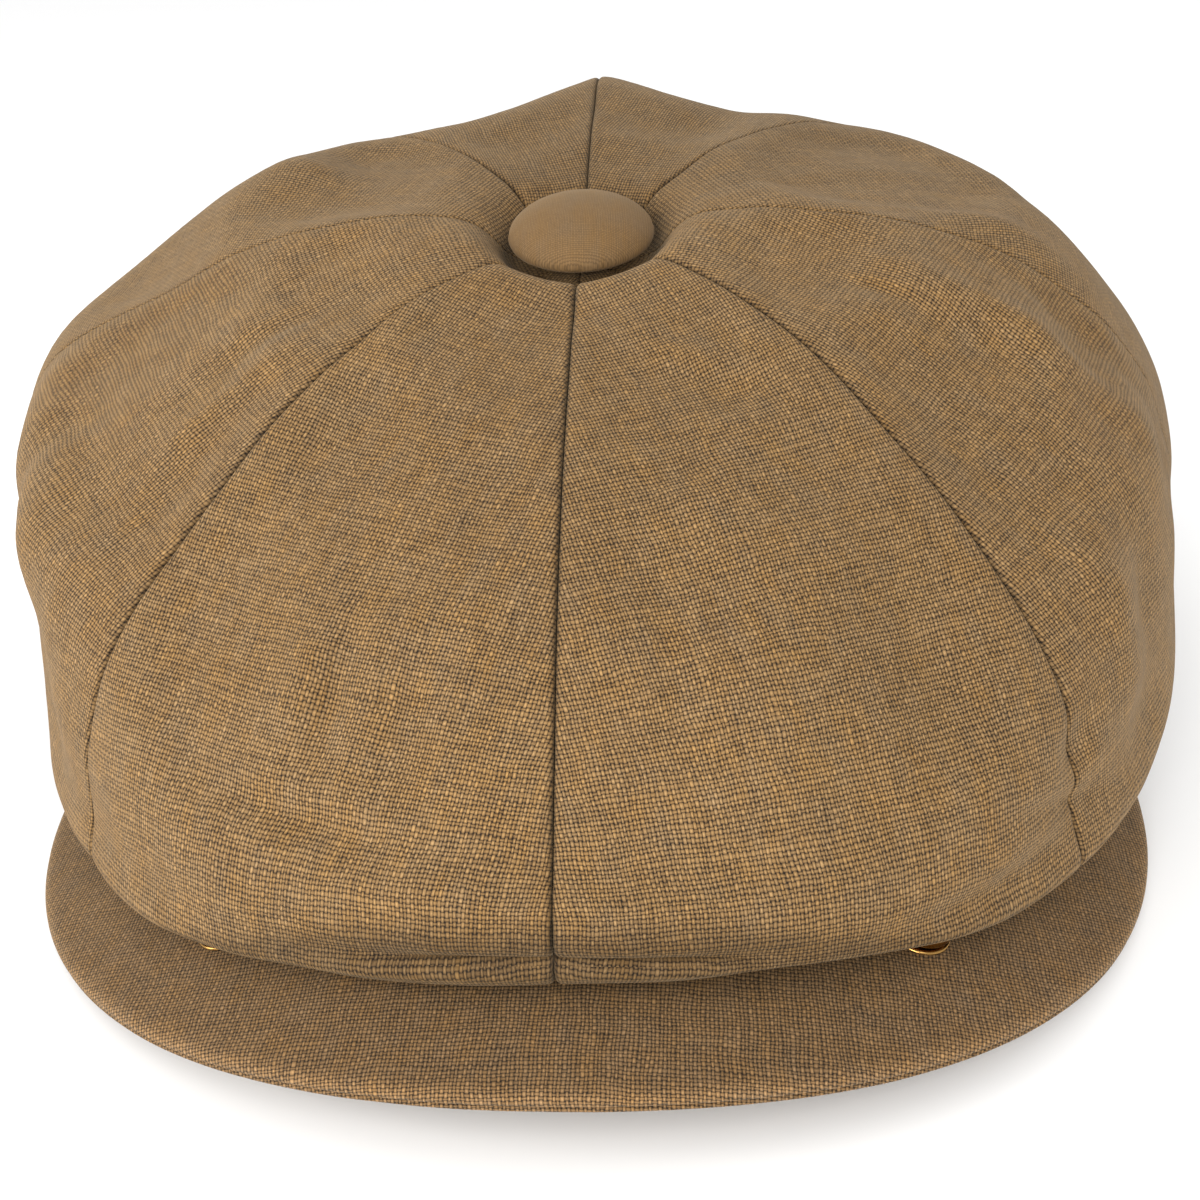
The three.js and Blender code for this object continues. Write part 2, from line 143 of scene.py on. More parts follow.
# ------------------------------------------------------------------ cloth relief
def value_noise(x, y, z, seed):
    """Smooth 3-D value noise in -1..1, the same on every run."""
    g = np.random.default_rng(seed).uniform(-1, 1, (32, 32, 32))
    xi, yi, zi = np.floor(x).astype(int), np.floor(y).astype(int), np.floor(z).astype(int)
    fx, fy, fz = x - xi, y - yi, z - zi
    fx, fy, fz = [f * f * f * (f * (6 * f - 15) + 10) for f in (fx, fy, fz)]
    out = 0
    for dx in (0, 1):
        for dy in (0, 1):
            for dz in (0, 1):
                w = (fx if dx else 1 - fx) * (fy if dy else 1 - fy) * (fz if dz else 1 - fz)
                out = out + w * g[(xi + dx) % 32, (yi + dy) % 32, (zi + dz) % 32]
    return out


def bump(psi, s, p0, s0, wp, ws, ang=0.0):
    """A soft elongated hump at (p0 degrees, s0) with half widths wp degrees and ws levels, turned by ang."""
    dp = (np.degrees(psi) - p0 + 180) % 360 - 180
    ds = (s - s0) * 12.0
    c, q = math.cos(ang * D2R), math.sin(ang * D2R)
    a, b = c * dp + q * ds, -q * dp + c * ds
    return np.exp(-(a / wp) ** 2 - (b / (ws * 12.0)) ** 2)


def relief(psi, s):
    """How far the cloth stands off the plain surface, mm: slack, soft folds and puckers along the seams."""
    p = crown(psi, s, 0)
    x, y, z = p[..., 0], p[..., 1], p[..., 2]
    mid = np.abs(np.sin(4 * psi))
    on = smooth(s, 1.2, 2.6) * (1 - smooth(s, 10.2, 11))
    r = 0.6 * value_noise(x / 34 + 3.1, y / 34, z / 34, 5) * (0.4 + 0.6 * mid)
    r = r + 0.38 * value_noise(x / 14, y / 14 + 7.7, z / 14, 6) * (0.35 + 0.65 * mid)
    # puckers beside each seam: short waves along it that die away into the panel
    near = np.exp(-(mid / 0.33) ** 2)
    seam = np.round(psi / (math.pi / 4))
    r = r + 0.34 * near * value_noise(s * 2.1 + seam * 5.3, seam * 3.7, mid * 1.5, 8)
    return r * on


def button_lip(psi, s):
    """The cloth is drawn down under the button and swells up round it, pinched at each seam."""
    full = 0.62 + 0.38 * np.abs(np.sin(4 * psi)) ** 0.7
    front = 0.5 + 0.5 * np.cos(psi)
    side = np.abs(np.sin(psi))
    lip = np.exp(-((s - 1.52 - 0.16 * side) / 0.34) ** 2) * (2.3 * front + 0.9 * (1 - front))
    under = -(1.6 + 0.7 * side) * np.exp(-((s - 0.98) / 0.28) ** 2)
    return lip * full + under


# Soft folds of the slack cloth: degrees round, level, half widths, turn, height in mm.
FOLDS = [
    (-19.2, 5.45, 1.5, 0.45, 0, -1.7), (-22.2, 5.4, 2.0, 0.5, 0, 0.9), (-16.2, 5.5, 1.8, 0.45, 0, 0.7), (-11.8, 5.6, 1.8, 0.45, 0, -1.2), (-9.0, 5.6, 1.8, 0.4, 0, 0.4),
    (-20, 6.43, 7, 0.15, 0, -1.7), (-20, 6.15, 7, 0.16, 0, 0.8), (-33, 3.9, 7, 0.6, 20, -1.6), (-42, 3.1, 5, 0.2, 0, -0.8),
    (25, 3.08, 11, 0.18, 18, -1.5), (25, 2.75, 10, 0.18, 18, 0.9), (12, 3.75, 8, 0.13, -8, -0.7), (10, 5.2, 1.8, 0.6, 0, -0.9), (26, 6.2, 2.5, 0.9, 0, 0.9), (33, 5.6, 2.2, 0.9, 0, -0.8),
    (-8, 6.95, 9, 0.28, 5, 1.7), (-6, 8.15, 10, 0.5, 3, -4.0), (-5, 9.2, 11, 0.5, 0, 2.5), (10, 7.1, 8, 0.22, -4, 1.0), (8, 8.15, 8, 0.45, -3, -2.4), (9, 9.2, 8, 0.5, 0, 1.6),
    (45.5, 7.1, 3, 0.28, 0, -2.2), (41, 7.5, 9, 0.14, 40, -1.7), (36, 7.1, 8, 0.16, 40, 0.9), (34, 8.3, 7, 0.35, 0, -1.0), (30, 7.7, 8, 0.3, 0, 0.8),
    (109, 3.8, 3.5, 0.9, 0, -2.0), (96, 4.2, 3, 0.9, 8, 1.4), (76, 4.9, 3, 1.2, 0, 1.9), (85, 5.2, 2.6, 1.1, 5, -1.6), (64, 6.6, 3.5, 1.0, 0, -1.7), (56, 6.2, 3, 1.2, 0, 1.4), (68, 3.6, 2.2, 0.8, -8, -0.9),
    (-51, 4.9, 3, 0.5, 0, -2.0), (-57, 4.3, 2.5, 0.7, 10, 1.4), (-63, 3.9, 2.2, 0.8, 12, -1.3), (-66, 6.4, 3.5, 1.1, 5, 1.0), (-75, 6.0, 3, 1.2, 0, -1.7), (-86, 4.9, 3, 0.8, -8, 0.5), (-98, 4.65, 10, 0.8, 0, -3.4), (-115, 3.7, 4, 0.4, 0, 0.9), (-126, 3.3, 6, 0.5, 0, -2.6), (147, 3.3, 9, 0.6, 0, -2.2),
    (31, 9.25, 9, 0.55, 0, 2.1), (-31, 9.25, 9, 0.5, 0, 1.5), (29.5, 9.8, 4.5, 0.62, 0, -2.5), (-29.5, 9.8, 4.5, 0.62, 0, -2.5), (112, 6.3, 5, 1.2, 0, -1.6),
    (130, 7.2, 6, 1.0, 0, 1.5), (150, 6.4, 7, 1.2, -10, -1.7), (166, 7.4, 6, 1.0, 8, 1.6), (140, 8.4, 10, 0.3, 6, -1.2), (-150, 8.2, 10, 0.3, -6, -1.2),
    (-96, 6.0, 7, 1.2, -6, 1.4), (-118, 7.0, 6, 1.0, 0, -1.6), (-140, 6.5, 6, 1.2, 8, 1.5), (-160, 7.3, 6, 1.0, 0, -1.3), (178, 5.5, 6, 1.2, 0, 0.9),
]


def crown_fine(psi, s):
    d = relief(psi, s) + button_lip(psi, s) + creases(psi, s)
    for p0, s0, wp, ws, ang, h in FOLDS:
        d = d + h * bump(psi, s, p0, s0, wp, ws, ang)
    # the lining behind the cloth stops a hollow, until it leaves the crown lower down
    leave = 5.45 - 1.05 * np.cos(psi)
    hang = slack(psi, s)
    most = 2.3 + 0.8 * np.maximum(hang, 0) + 4.0 * smooth(s, leave + 0.5, leave + 1.8)
    d = hang + np.where(d < 0, most * np.tanh(d / most), d)
    return crown(psi, s) + crown_normal(psi, s) * d[..., None]


# ------------------------------------------------------------------ how the slack cloth settles
def blur(a, sigma, axis, wrap):
    r = int(3 * sigma) + 1
    k = np.exp(-0.5 * (np.arange(-r, r + 1) / sigma) ** 2)
    out = 0.0
    for i, w in zip(range(-r, r + 1), k / k.sum()):
        idx = np.arange(a.shape[axis]) + i
        out = out + w * np.take(a, idx % a.shape[axis] if wrap else np.clip(idx, 0, a.shape[axis] - 1), axis)
    return out


def drape_net(n=120, m=52):
    """Lets the crown's cloth, cut a little larger than the shape it hangs in, settle under its own weight and a breath of
    air, sewn down at the button, the seams and the band. Returns the creases it takes, mm along the normal, by psi and s."""
    psi = np.arange(n) * 2 * math.pi / n
    s = np.linspace(1.2, LAST - 0.3, m)
    pg, sg = np.meshgrid(psi, s, indexing="ij")
    base = crown(pg, sg) + crown_normal(pg, sg) * slack(pg, sg)[..., None]
    seeded = 0.25 * value_noise(base[..., 0] / 9, base[..., 1] / 9, base[..., 2] / 9, 77)
    start = base + crown_normal(pg, sg) * seeded[..., None]
    ids = np.arange(n * m).reshape(n, m)
    a, b = ids, np.roll(ids, -1, 0)
    quads = np.stack([a[:, :-1], b[:, :-1], b[:, 1:], a[:, 1:]], -1).reshape(-1, 4)
    me = bpy.data.meshes.new("drape_net")
    me.from_pydata([tuple(v) for v in start.reshape(-1, 3) * 0.01], [], [tuple(int(i) for i in f) for f in quads])
    ob = bpy.data.objects.new("drape_net", me)
    sc = bpy.context.scene
    sc.collection.objects.link(ob)
    mid = np.abs(np.sin(4 * pg))
    hold = np.maximum(np.where((sg < 1.75) | (sg > 10.25), 1.0, 0.0), 0.85 * np.exp(-(mid / 0.16) ** 2))
    hold = np.maximum(hold, 0.15)
    vg = ob.vertex_groups.new(name="hold")
    for i, w in enumerate(hold.ravel()):
        vg.add([i], float(w), "REPLACE")
    loose = ob.vertex_groups.new(name="ease")
    for i, w in enumerate((smooth(mid, 0.1, 0.7) * smooth(sg, 2.0, 3.5) * (1 - smooth(sg, 9.4, 10.2))).ravel()):
        loose.add([i], float(w), "REPLACE")
    cl = ob.modifiers.new("cloth", "CLOTH")
    st = cl.settings
    st.quality = 6
    st.mass = 0.3
    st.tension_stiffness = st.compression_stiffness = 25
    st.shear_stiffness = 12
    st.bending_stiffness = 3.0
    st.tension_damping = st.compression_damping = 12
    st.shear_damping = 8
    st.bending_damping = 1.0
    st.air_damping = 2.5
    st.vertex_group_mass = "hold"
    st.pin_stiffness = 1.0
    st.vertex_group_shrink = "ease"
    st.shrink_min, st.shrink_max = 0.0, -0.08
    st.effector_weights.gravity = 0.12
    st.use_pressure = True
    st.uniform_pressure_force = 0.25
    cl.collision_settings.use_collision = False
    cl.collision_settings.use_self_collision = False
    cl.point_cache.frame_start, cl.point_cache.frame_end = 1, 25
    for f in range(1, 25 + 1):
        sc.frame_set(f)
    ev = ob.evaluated_get(bpy.context.evaluated_depsgraph_get())
    co = np.zeros(n * m * 3, np.float32)
    ev.data.vertices.foreach_get("co", co)
    sc.frame_set(1)
    bpy.data.objects.remove(ob)
    bpy.data.meshes.remove(me)
    d = ((co.reshape(n, m, 3).astype(float) * 100 - base) * crown_normal(pg, sg)).sum(-1)
    # the broad shape is set already, so only the creases are kept, and none is deeper than the lining allows
    low = blur(blur(d, 8, 0, True), 6, 1, False)
    keep = blur(blur(d - low, 0.9, 0, True), 0.8, 1, False)
    ends = smooth(sg, 1.6, 2.6) * (1 - smooth(sg, 9.6, 10.4))
    d = 2.6 * np.tanh(keep / 1.7) * ends * (1.0 - 0.5 * np.exp(-((pg + math.pi) % (2 * math.pi) - math.pi) ** 2 / 0.6))
    return d


DRAPE = drape_net()


def creases(psi, s):
    psi, s = np.broadcast_arrays(np.asarray(psi, float), np.asarray(s, float))
    n, m = DRAPE.shape
    u = (psi % (2 * math.pi)) / (2 * math.pi) * n
    v = np.clip((s - 1.2) / (LAST - 1.5), 0, 1 - 1e-9) * (m - 1)
    iu, iv = np.floor(u).astype(int), np.floor(v).astype(int)
    fu, fv = u - iu, v - iv
    out = 0.0
    for a, wa in enumerate(cubic(fu)):
        for b, wb in enumerate(cubic(fv)):
            out = out + wa * wb * DRAPE[(iu + a - 1) % n, np.clip(iv + b - 1, 0, m - 1)]
    return out


# ------------------------------------------------------------------ meshes
def to_world(p):
    q = np.array(p, float)
    q[..., 1] += SHIFT_Y
    return q * MM


def make_mesh(name, verts, faces, mat, weave=None, smooth_shade=True, shade_and_wear=None):
    me = bpy.data.meshes.new(name)
    me.from_pydata([tuple(v) for v in verts], [], [tuple(f) for f in faces])
    me.validate()
    if smooth_shade:
        me.polygons.foreach_set("use_smooth", [True] * len(me.polygons))
    if weave is not None:
        a = me.attributes.new("weave", "FLOAT_VECTOR", "POINT")
        a.data.foreach_set("vector", np.asarray(weave, np.float32).ravel())
    if shade_and_wear is not None:
        a = me.attributes.new("shade_and_wear", "FLOAT", "POINT")
        a.data.foreach_set("value", np.asarray(shade_and_wear, np.float32).ravel())
    me.materials.append(mat)
    ob = bpy.data.objects.new(name, me)
    bpy.context.scene.collection.objects.link(ob)
    return ob


def signed_volume(v, f):
    v = np.asarray(v)
    t = 0.0
    for q in f:
        for k in range(1, len(q) - 1):
            t += np.dot(v[q[0]], np.cross(v[q[k]], v[q[k + 1]]))
    return t


def cloth(name, outer, inner, weave, mat, shade_and_wear=None):
    """A closed sheet of cloth from two (n, m, 3) grids in layout mm."""
    n, m = outer.shape[:2]
    i, j = np.meshgrid(np.arange(n - 1), np.arange(m - 1), indexing="ij")
    a = (i * m + j).ravel()
    quads = np.stack([a, a + m, a + m + 1, a + 1], -1)
    N = n * m
    back = quads[:, ::-1] + N
    rim = list(range(0, m)) + [k * m + m - 1 for k in range(1, n)] + [(n - 1) * m + k for k in range(m - 2, -1, -1)] + [k * m for k in range(n - 2, 0, -1)]
    walls = []
    for k in range(len(rim)):
        p, q = rim[k], rim[(k + 1) % len(rim)]
        walls.append((p, q, q + N, p + N))
    verts = to_world(np.concatenate([outer.reshape(-1, 3), inner.reshape(-1, 3)]))
    faces = [tuple(x) for x in quads] + [tuple(x) for x in back] + walls
    if signed_volume(verts, faces) < 0:
        faces = [tuple(reversed(f)) for f in faces]
    w = np.concatenate([weave.reshape(-1, 3)] * 2)
    return make_mesh(name, verts, faces, mat, w, shade_and_wear=None if shade_and_wear is None else np.concatenate([shade_and_wear.ravel()] * 2))


def ring(name, section_fn, n, mat, weave_fn):
    """A closed section swept round: section_fn(theta) gives (m, 3) points in layout mm."""
    th = np.arange(n) * 2 * math.pi / n
    sec = np.stack([section_fn(t) for t in th])
    m = sec.shape[1]
    faces = []
    for i in range(n):
        k = (i + 1) % n
        for j in range(m):
            l = (j + 1) % m
            faces.append((i * m + j, i * m + l, k * m + l, k * m + j))
    verts = to_world(sec.reshape(-1, 3))
    if signed_volume(verts, faces) < 0:
        faces = [tuple(reversed(f)) for f in faces]
    w = np.stack([weave_fn(t, j) for t in th for j in range(m)])
    return make_mesh(name, verts, faces, mat, w)


def turned(name, profile, at, axis, mat, n=64, wave=None):
    q = Vector((0, 0, 1)).rotation_difference(Vector(axis).normalized())
    verts, start, faces, wv = [], [], [], []
    for r, h in profile:
        start.append(len(verts))
        for k in range(1 if r < 1e-6 else n):
            t = 2 * math.pi * k / n
            rr, hh = (r, h) if wave is None or r < 1e-6 else wave(r, h, t)
            p = Vector((rr * math.cos(t), rr * math.sin(t), hh))
            wv.append((p.x, p.y, 0.0))
            p.rotate(q)
            verts.append(np.array(p) + np.array(at, float))
    loop = profile[0][0] > 1e-6
    m = len(profile)
    for i in range(m if loop else m - 1):
        j = (i + 1) % m
        pa, pb = profile[i][0] < 1e-6, profile[j][0] < 1e-6
        for k in range(n):
            k1 = (k + 1) % n
            a, a1 = (start[i],) * 2 if pa else (start[i] + k, start[i] + k1)
            b, b1 = (start[j],) * 2 if pb else (start[j] + k, start[j] + k1)
            faces.append((a, b1, b) if pa else ((a, a1, b) if pb else (a, a1, b1, b)))
    verts = to_world(np.array(verts))
    if signed_volume(verts, faces) < 0:
        faces = [tuple(reversed(f)) for f in faces]
    return make_mesh(name, verts, faces, mat, wv)


# ------------------------------------------------------------------ materials
class Nodes:
    def __init__(self, name):
        self.mat = bpy.data.materials.new(name)
        self.mat.use_nodes = True
        self.t = self.mat.node_tree
        self.t.nodes.clear()
        self.out = self.t.nodes.new("ShaderNodeOutputMaterial")
        self.bsdf = self.t.nodes.new("ShaderNodeBsdfPrincipled")
        self.t.links.new(self.bsdf.outputs[0], self.out.inputs["Surface"])

    def put(self, sock, v):
        if isinstance(v, bpy.types.NodeSocket):
            self.t.links.new(v, sock)
        else:
            sock.default_value = v

    def m(self, op, a, b=None, c=None, clamp=False):
        n = self.t.nodes.new("ShaderNodeMath")
        n.operation = op
        n.use_clamp = clamp
        for k, v in enumerate((a, b, c)):
            if v is not None:
                self.put(n.inputs[k], v)
        return n.outputs[0]

    def add(self, a, b): return self.m("ADD", a, b)
    def sub(self, a, b): return self.m("SUBTRACT", a, b)
    def mul(self, a, b): return self.m("MULTIPLY", a, b)

    def vec(self, x, y, z=0.0):
        n = self.t.nodes.new("ShaderNodeCombineXYZ")
        for k, v in enumerate((x, y, z)):
            self.put(n.inputs[k], v)
        return n.outputs[0]

    def noise(self, vector, scale=1.0, detail=2.0, rough=0.5):
        n = self.t.nodes.new("ShaderNodeTexNoise")
        self.put(n.inputs["Vector"], vector)
        n.inputs["Scale"].default_value = scale
        n.inputs["Detail"].default_value = detail
        n.inputs["Roughness"].default_value = rough
        return n.outputs[0], n.outputs[1]

    def ramp(self, fac, stops):
        n = self.t.nodes.new("ShaderNodeValToRGB")
        self.put(n.inputs[0], fac)
        e = n.color_ramp.elements
        while len(e) > 1:
            e.remove(e[-1])
        e[0].position, e[0].color = stops[0][0], (*stops[0][1], 1)
        for p, c in stops[1:]:
            k = e.new(p)
            k.color = (*c, 1)
        return n.outputs[0]

    def mix(self, fac, a, b, mode="MIX"):
        n = self.t.nodes.new("ShaderNodeMix")
        n.data_type = "RGBA"
        n.blend_type = mode
        self.put(n.inputs[0], fac)
        self.put(n.inputs[6], a if isinstance(a, bpy.types.NodeSocket) else (*a, 1))
        self.put(n.inputs[7], b if isinstance(b, bpy.types.NodeSocket) else (*b, 1))
        return n.outputs[2]

    def bump(self, height, distance, strength=1.0, normal=None):
        n = self.t.nodes.new("ShaderNodeBump")
        n.inputs["Strength"].default_value = strength
        n.inputs["Distance"].default_value = distance
        self.put(n.inputs["Height"], height)
        if normal is not None:
            self.put(n.inputs["Normal"], normal)
        return n.outputs[0]

    def attr(self, name):
        n = self.t.nodes.new("ShaderNodeAttribute")
        n.attribute_name = name
        s = self.t.nodes.new("ShaderNodeSeparateXYZ")
        self.t.links.new(n.outputs["Vector"], s.inputs[0])
        return s.outputs[0], s.outputs[1], s.outputs[2]

    def obj(self):
        return self.t.nodes.new("ShaderNodeTexCoord").outputs["Object"]


def srgb(r, g, b):
    return tuple(((c / 255 + 0.055) / 1.055) ** 2.4 if c > 10.3 else c / 255 / 12.92 for c in (r, g, b))


def linen(name, light, dark, gap_shade, pu=0.585, pv=0.745, depth=0.15, gap_shade_floor=0.0, weft_shade=0.12, calm=1.0):
    """Plain-weave linen on the 'weave' attribute (x across the warp, y along it, in mm); a second point attribute
    scales the colour: painted shade in the seams, round the button, under the hem and over the back of the crown, a
    painted lighter band low on its front, and real paling of the visor's rubbed edge.
    """
    N = Nodes(name)
    U, V, W = N.attr("weave")
    # uneven spacing and gently wandering threads
    _, c1 = N.noise(N.vec(N.mul(U, 0.11), N.mul(V, 0.11), W), 1.0, 2.0)
    sep = N.t.nodes.new("ShaderNodeSeparateColor")
    N.t.links.new(c1, sep.inputs[0])
    w1, _ = N.noise(N.vec(N.mul(U, 1.15), N.mul(V, 0.09), 3.3), 1.0, 1.0)
    w2, _ = N.noise(N.vec(N.mul(U, 0.09), N.mul(V, 0.95), 7.9), 1.0, 1.0)
    u = N.add(N.mul(U, 1 / pu), N.add(N.mul(N.sub(sep.outputs[0], 0.5), 1.9), N.mul(N.sub(w1, 0.5), 0.8)))
    v = N.add(N.mul(V, 1 / pv), N.add(N.mul(N.sub(sep.outputs[1], 0.5), 1.9), N.mul(N.sub(w2, 0.5), 0.8)))
    iu, iv = N.m("FLOOR", u), N.m("FLOOR", v)
    fu, fv = N.sub(u, iu), N.sub(v, iv)
    # +1 where the warp thread is on top of this crossing, -1 where the weft is
    par = N.m("PINGPONG", N.add(iu, iv), 1.0)
    sgn = N.sub(N.mul(par, 2.0), 1.0)
    su, sv = N.m("SINE", N.mul(fu, math.pi)), N.m("SINE", N.mul(fv, math.pi))
    # thick and thin places along each thread
    k1, _ = N.noise(N.vec(N.mul(iu, 5.17), N.mul(v, 0.21), W), 1.0, 1.5)
    k2, _ = N.noise(N.vec(N.mul(u, 0.21), N.mul(iv, 5.17), N.add(W, 4.0)), 1.0, 1.5)
    hw = N.mul(N.m("POWER", su, N.sub(1.2, k1)), N.add(0.64, N.mul(N.mul(sgn, N.m("POWER", sv, 0.8)), 0.36)))
    hf = N.mul(N.m("POWER", sv, N.sub(1.25, k2)), N.sub(0.58, N.mul(N.mul(sgn, N.m("POWER", su, 0.8)), 0.30)))
    h = N.m("MAXIMUM", hw, hf)
    warp_up = N.m("GREATER_THAN", hw, hf)
    # painted shade: floats where the weft lies on top are made darker than the warp's
    tone = N.add(N.mul(warp_up, k1), N.mul(N.sub(1.0, warp_up), N.sub(k2, weft_shade)))
    # painted highlight: how much each float's top is lightened differs from its neighbours
    float_highlight_jitter, _ = N.noise(N.vec(N.mul(iu, 3.71), N.mul(iv, 4.37), N.add(W, 30.0)), 1.0, 0.0)
    # fibres along the thread
    f1, _ = N.noise(N.vec(N.mul(u, 7.0), N.mul(v, 1.6), 1.0), 1.0, 2.0)
    f2, _ = N.noise(N.vec(N.mul(u, 1.6), N.mul(v, 7.0), 2.0), 1.0, 2.0)
    fib = N.add(N.mul(warp_up, f1), N.mul(N.sub(1.0, warp_up), f2))
    cloudy, _ = N.noise(N.vec(N.mul(U, 0.05), N.mul(V, 0.04), N.add(W, 9.0)), 1.0, 3.0, 0.6)
    slub1, _ = N.noise(N.vec(N.mul(U, 1.9), N.mul(V, 0.03), N.add(W, 2.0)), 1.0, 1.0)
    slub2, _ = N.noise(N.vec(N.mul(U, 0.03), N.mul(V, 1.6), N.add(W, 6.0)), 1.0, 1.0)
    t = N.add(N.mul(N.sub(tone, 0.5), 0.55 * calm), N.add(N.mul(N.sub(fib, 0.5), 0.7 * calm), N.add(N.mul(N.sub(cloudy, 0.5), 0.14), 0.26)))
    t = N.add(t, N.add(N.mul(N.sub(slub1, 0.5), 0.22 * calm), N.mul(N.sub(slub2, 0.5), 0.22 * calm)))
    # painted highlight on the top of every float
    t = N.add(t, N.mul(N.add(N.mul(float_highlight_jitter, 0.6), 0.12), N.mul(N.m("POWER", h, 4.0), 1.25 * calm)))
    body = N.mix(N.m("MULTIPLY_ADD", t, 1.0, 0.0, clamp=True), dark, light)
    # some threads run to orange, some to grey
    hue1, _ = N.noise(N.vec(N.mul(U, 0.22), N.mul(V, 0.17), N.add(W, 12.0)), 1.0, 2.0)
    hue2, _ = N.noise(N.vec(N.mul(iu, 3.3), N.mul(V, 0.05), N.add(W, 15.0)), 1.0, 1.0)
    hue = N.m("MULTIPLY_ADD", N.add(N.mul(N.sub(hue1, 0.5), 1.7), N.mul(N.sub(hue2, 0.5), 0.8)), 1.0, 0.5, clamp=True)
    tint = N.mix(hue, (0.97, 1.01, 1.16), (1.06, 0.985, 0.82))
    body = N.mix(1.0, body, tint, "MULTIPLY")
    # painted shade: where a thread dips under its neighbour, and in the holes of the weave, the colour runs to the dark
    # gap colour
    open1, _ = N.noise(N.vec(N.mul(U, 0.24), N.mul(V, 0.24), N.add(W, 20.0)), 1.0, 2.0)
    lift = N.ramp(N.add(h, N.mul(N.sub(open1, 0.5), 0.07)), [(0.0, (0.0,) * 3), (0.30, (0.04,) * 3), (0.47, (0.48,) * 3), (0.62, (0.86,) * 3), (0.8, (1.0,) * 3)])
    lift = N.add(gap_shade_floor, N.mul(lift, 1.0 - gap_shade_floor))
    # the crown's painted shade and painted lighter band, and the visor's real rubbed paling, come in through this
    # attribute and scale the colour
    shade_and_wear = N.t.nodes.new("ShaderNodeAttribute")
    shade_and_wear.attribute_name = "shade_and_wear"
    shade_and_wear_factor = N.m("MAXIMUM", N.add(1.0, shade_and_wear.outputs["Fac"]), 0.05)
    col = N.mix(1.0, N.mix(lift, gap_shade, body), N.vec(shade_and_wear_factor, shade_and_wear_factor, shade_and_wear_factor), "MULTIPLY")
    N.put(N.bsdf.inputs["Base Color"], col)
    N.bsdf.inputs["Roughness"].default_value = 0.82
    N.bsdf.inputs["Specular IOR Level"].default_value = 0.22
    N.bsdf.inputs["Sheen Weight"].default_value = 0.2
    N.bsdf.inputs["Sheen Roughness"].default_value = 0.45
    N.bsdf.inputs["Sheen Tint"].default_value = (*srgb(230, 205, 168), 1)
    hb = N.add(h, N.mul(N.sub(fib, 0.5), 0.14))
    N.put(N.bsdf.inputs["Normal"], N.bump(hb, depth * MM, 0.9))
    return N.mat


# the third colour of each linen below is painted shade for the holes and low places between the threads
LIGHT, DARK, GAP_SHADE = srgb(164, 131, 86), srgb(84, 62, 35), srgb(10, 6, 3)
# painted shade: the visor's linen is the crown's made darker, for the visor facing up under the crown's overhang
LIGHT_V_SHADED, DARK_V_SHADED = srgb(155, 122, 82), srgb(78, 58, 34)
M_LINEN = linen("linen_crown", LIGHT, DARK, GAP_SHADE)
M_VISOR_SHADED = linen("linen_visor_shaded", LIGHT_V_SHADED, DARK_V_SHADED, GAP_SHADE, 0.615, 0.72)
M_BUTTON = linen("linen_button", srgb(136, 108, 72), srgb(94, 72, 44), srgb(46, 33, 19), 0.30, 0.34, 0.045, 0.5, 0.05, 0.6)


def plain(name, color, rough=0.6, metallic=0.0):
    N = Nodes(name)
    n, _ = N.noise(N.obj(), 900.0, 3.0)
    N.put(N.bsdf.inputs["Base Color"], N.mix(n, [c * 0.8 for c in color], [min(c * 1.15, 1) for c in color]))
    N.bsdf.inputs["Roughness"].default_value = rough
    N.bsdf.inputs["Metallic"].default_value = metallic
    n2, _ = N.noise(N.obj(), 2600.0, 2.0)
    N.put(N.bsdf.inputs["Normal"], N.bump(n2, 0.00003, 0.5))
    return N.mat


def twill(name, light, dark, pitch=0.42):
    """Fine lining cloth: a shallow diagonal twill with a silky sheen."""
    N = Nodes(name)
    U, V, W = N.attr("weave")
    wob, _ = N.noise(N.vec(N.mul(U, 0.2), N.mul(V, 0.2), W), 1.0, 2.0)
    d = N.add(N.mul(N.add(U, N.mul(V, 0.8)), 1 / pitch), N.mul(wob, 1.2))
    h = N.m("SINE", N.mul(d, 2 * math.pi))
    cross = N.m("SINE", N.mul(N.sub(U, V), 2 * math.pi / (pitch * 0.8)))
    hh = N.add(N.mul(h, 0.5), N.mul(cross, 0.25))
    c, _ = N.noise(N.vec(N.mul(U, 0.06), N.mul(V, 0.06), W), 1.0, 3.0)
    fac = N.add(N.mul(hh, 0.35), c)
    N.put(N.bsdf.inputs["Base Color"], N.mix(N.m("MULTIPLY_ADD", fac, 1.0, 0.0, clamp=True), dark, light))
    N.bsdf.inputs["Roughness"].default_value = 0.45
    N.bsdf.inputs["Specular IOR Level"].default_value = 0.4
    N.bsdf.inputs["Sheen Weight"].default_value = 0.3
    N.put(N.bsdf.inputs["Normal"], N.bump(hh, 0.00004, 0.6))
    return N.mat


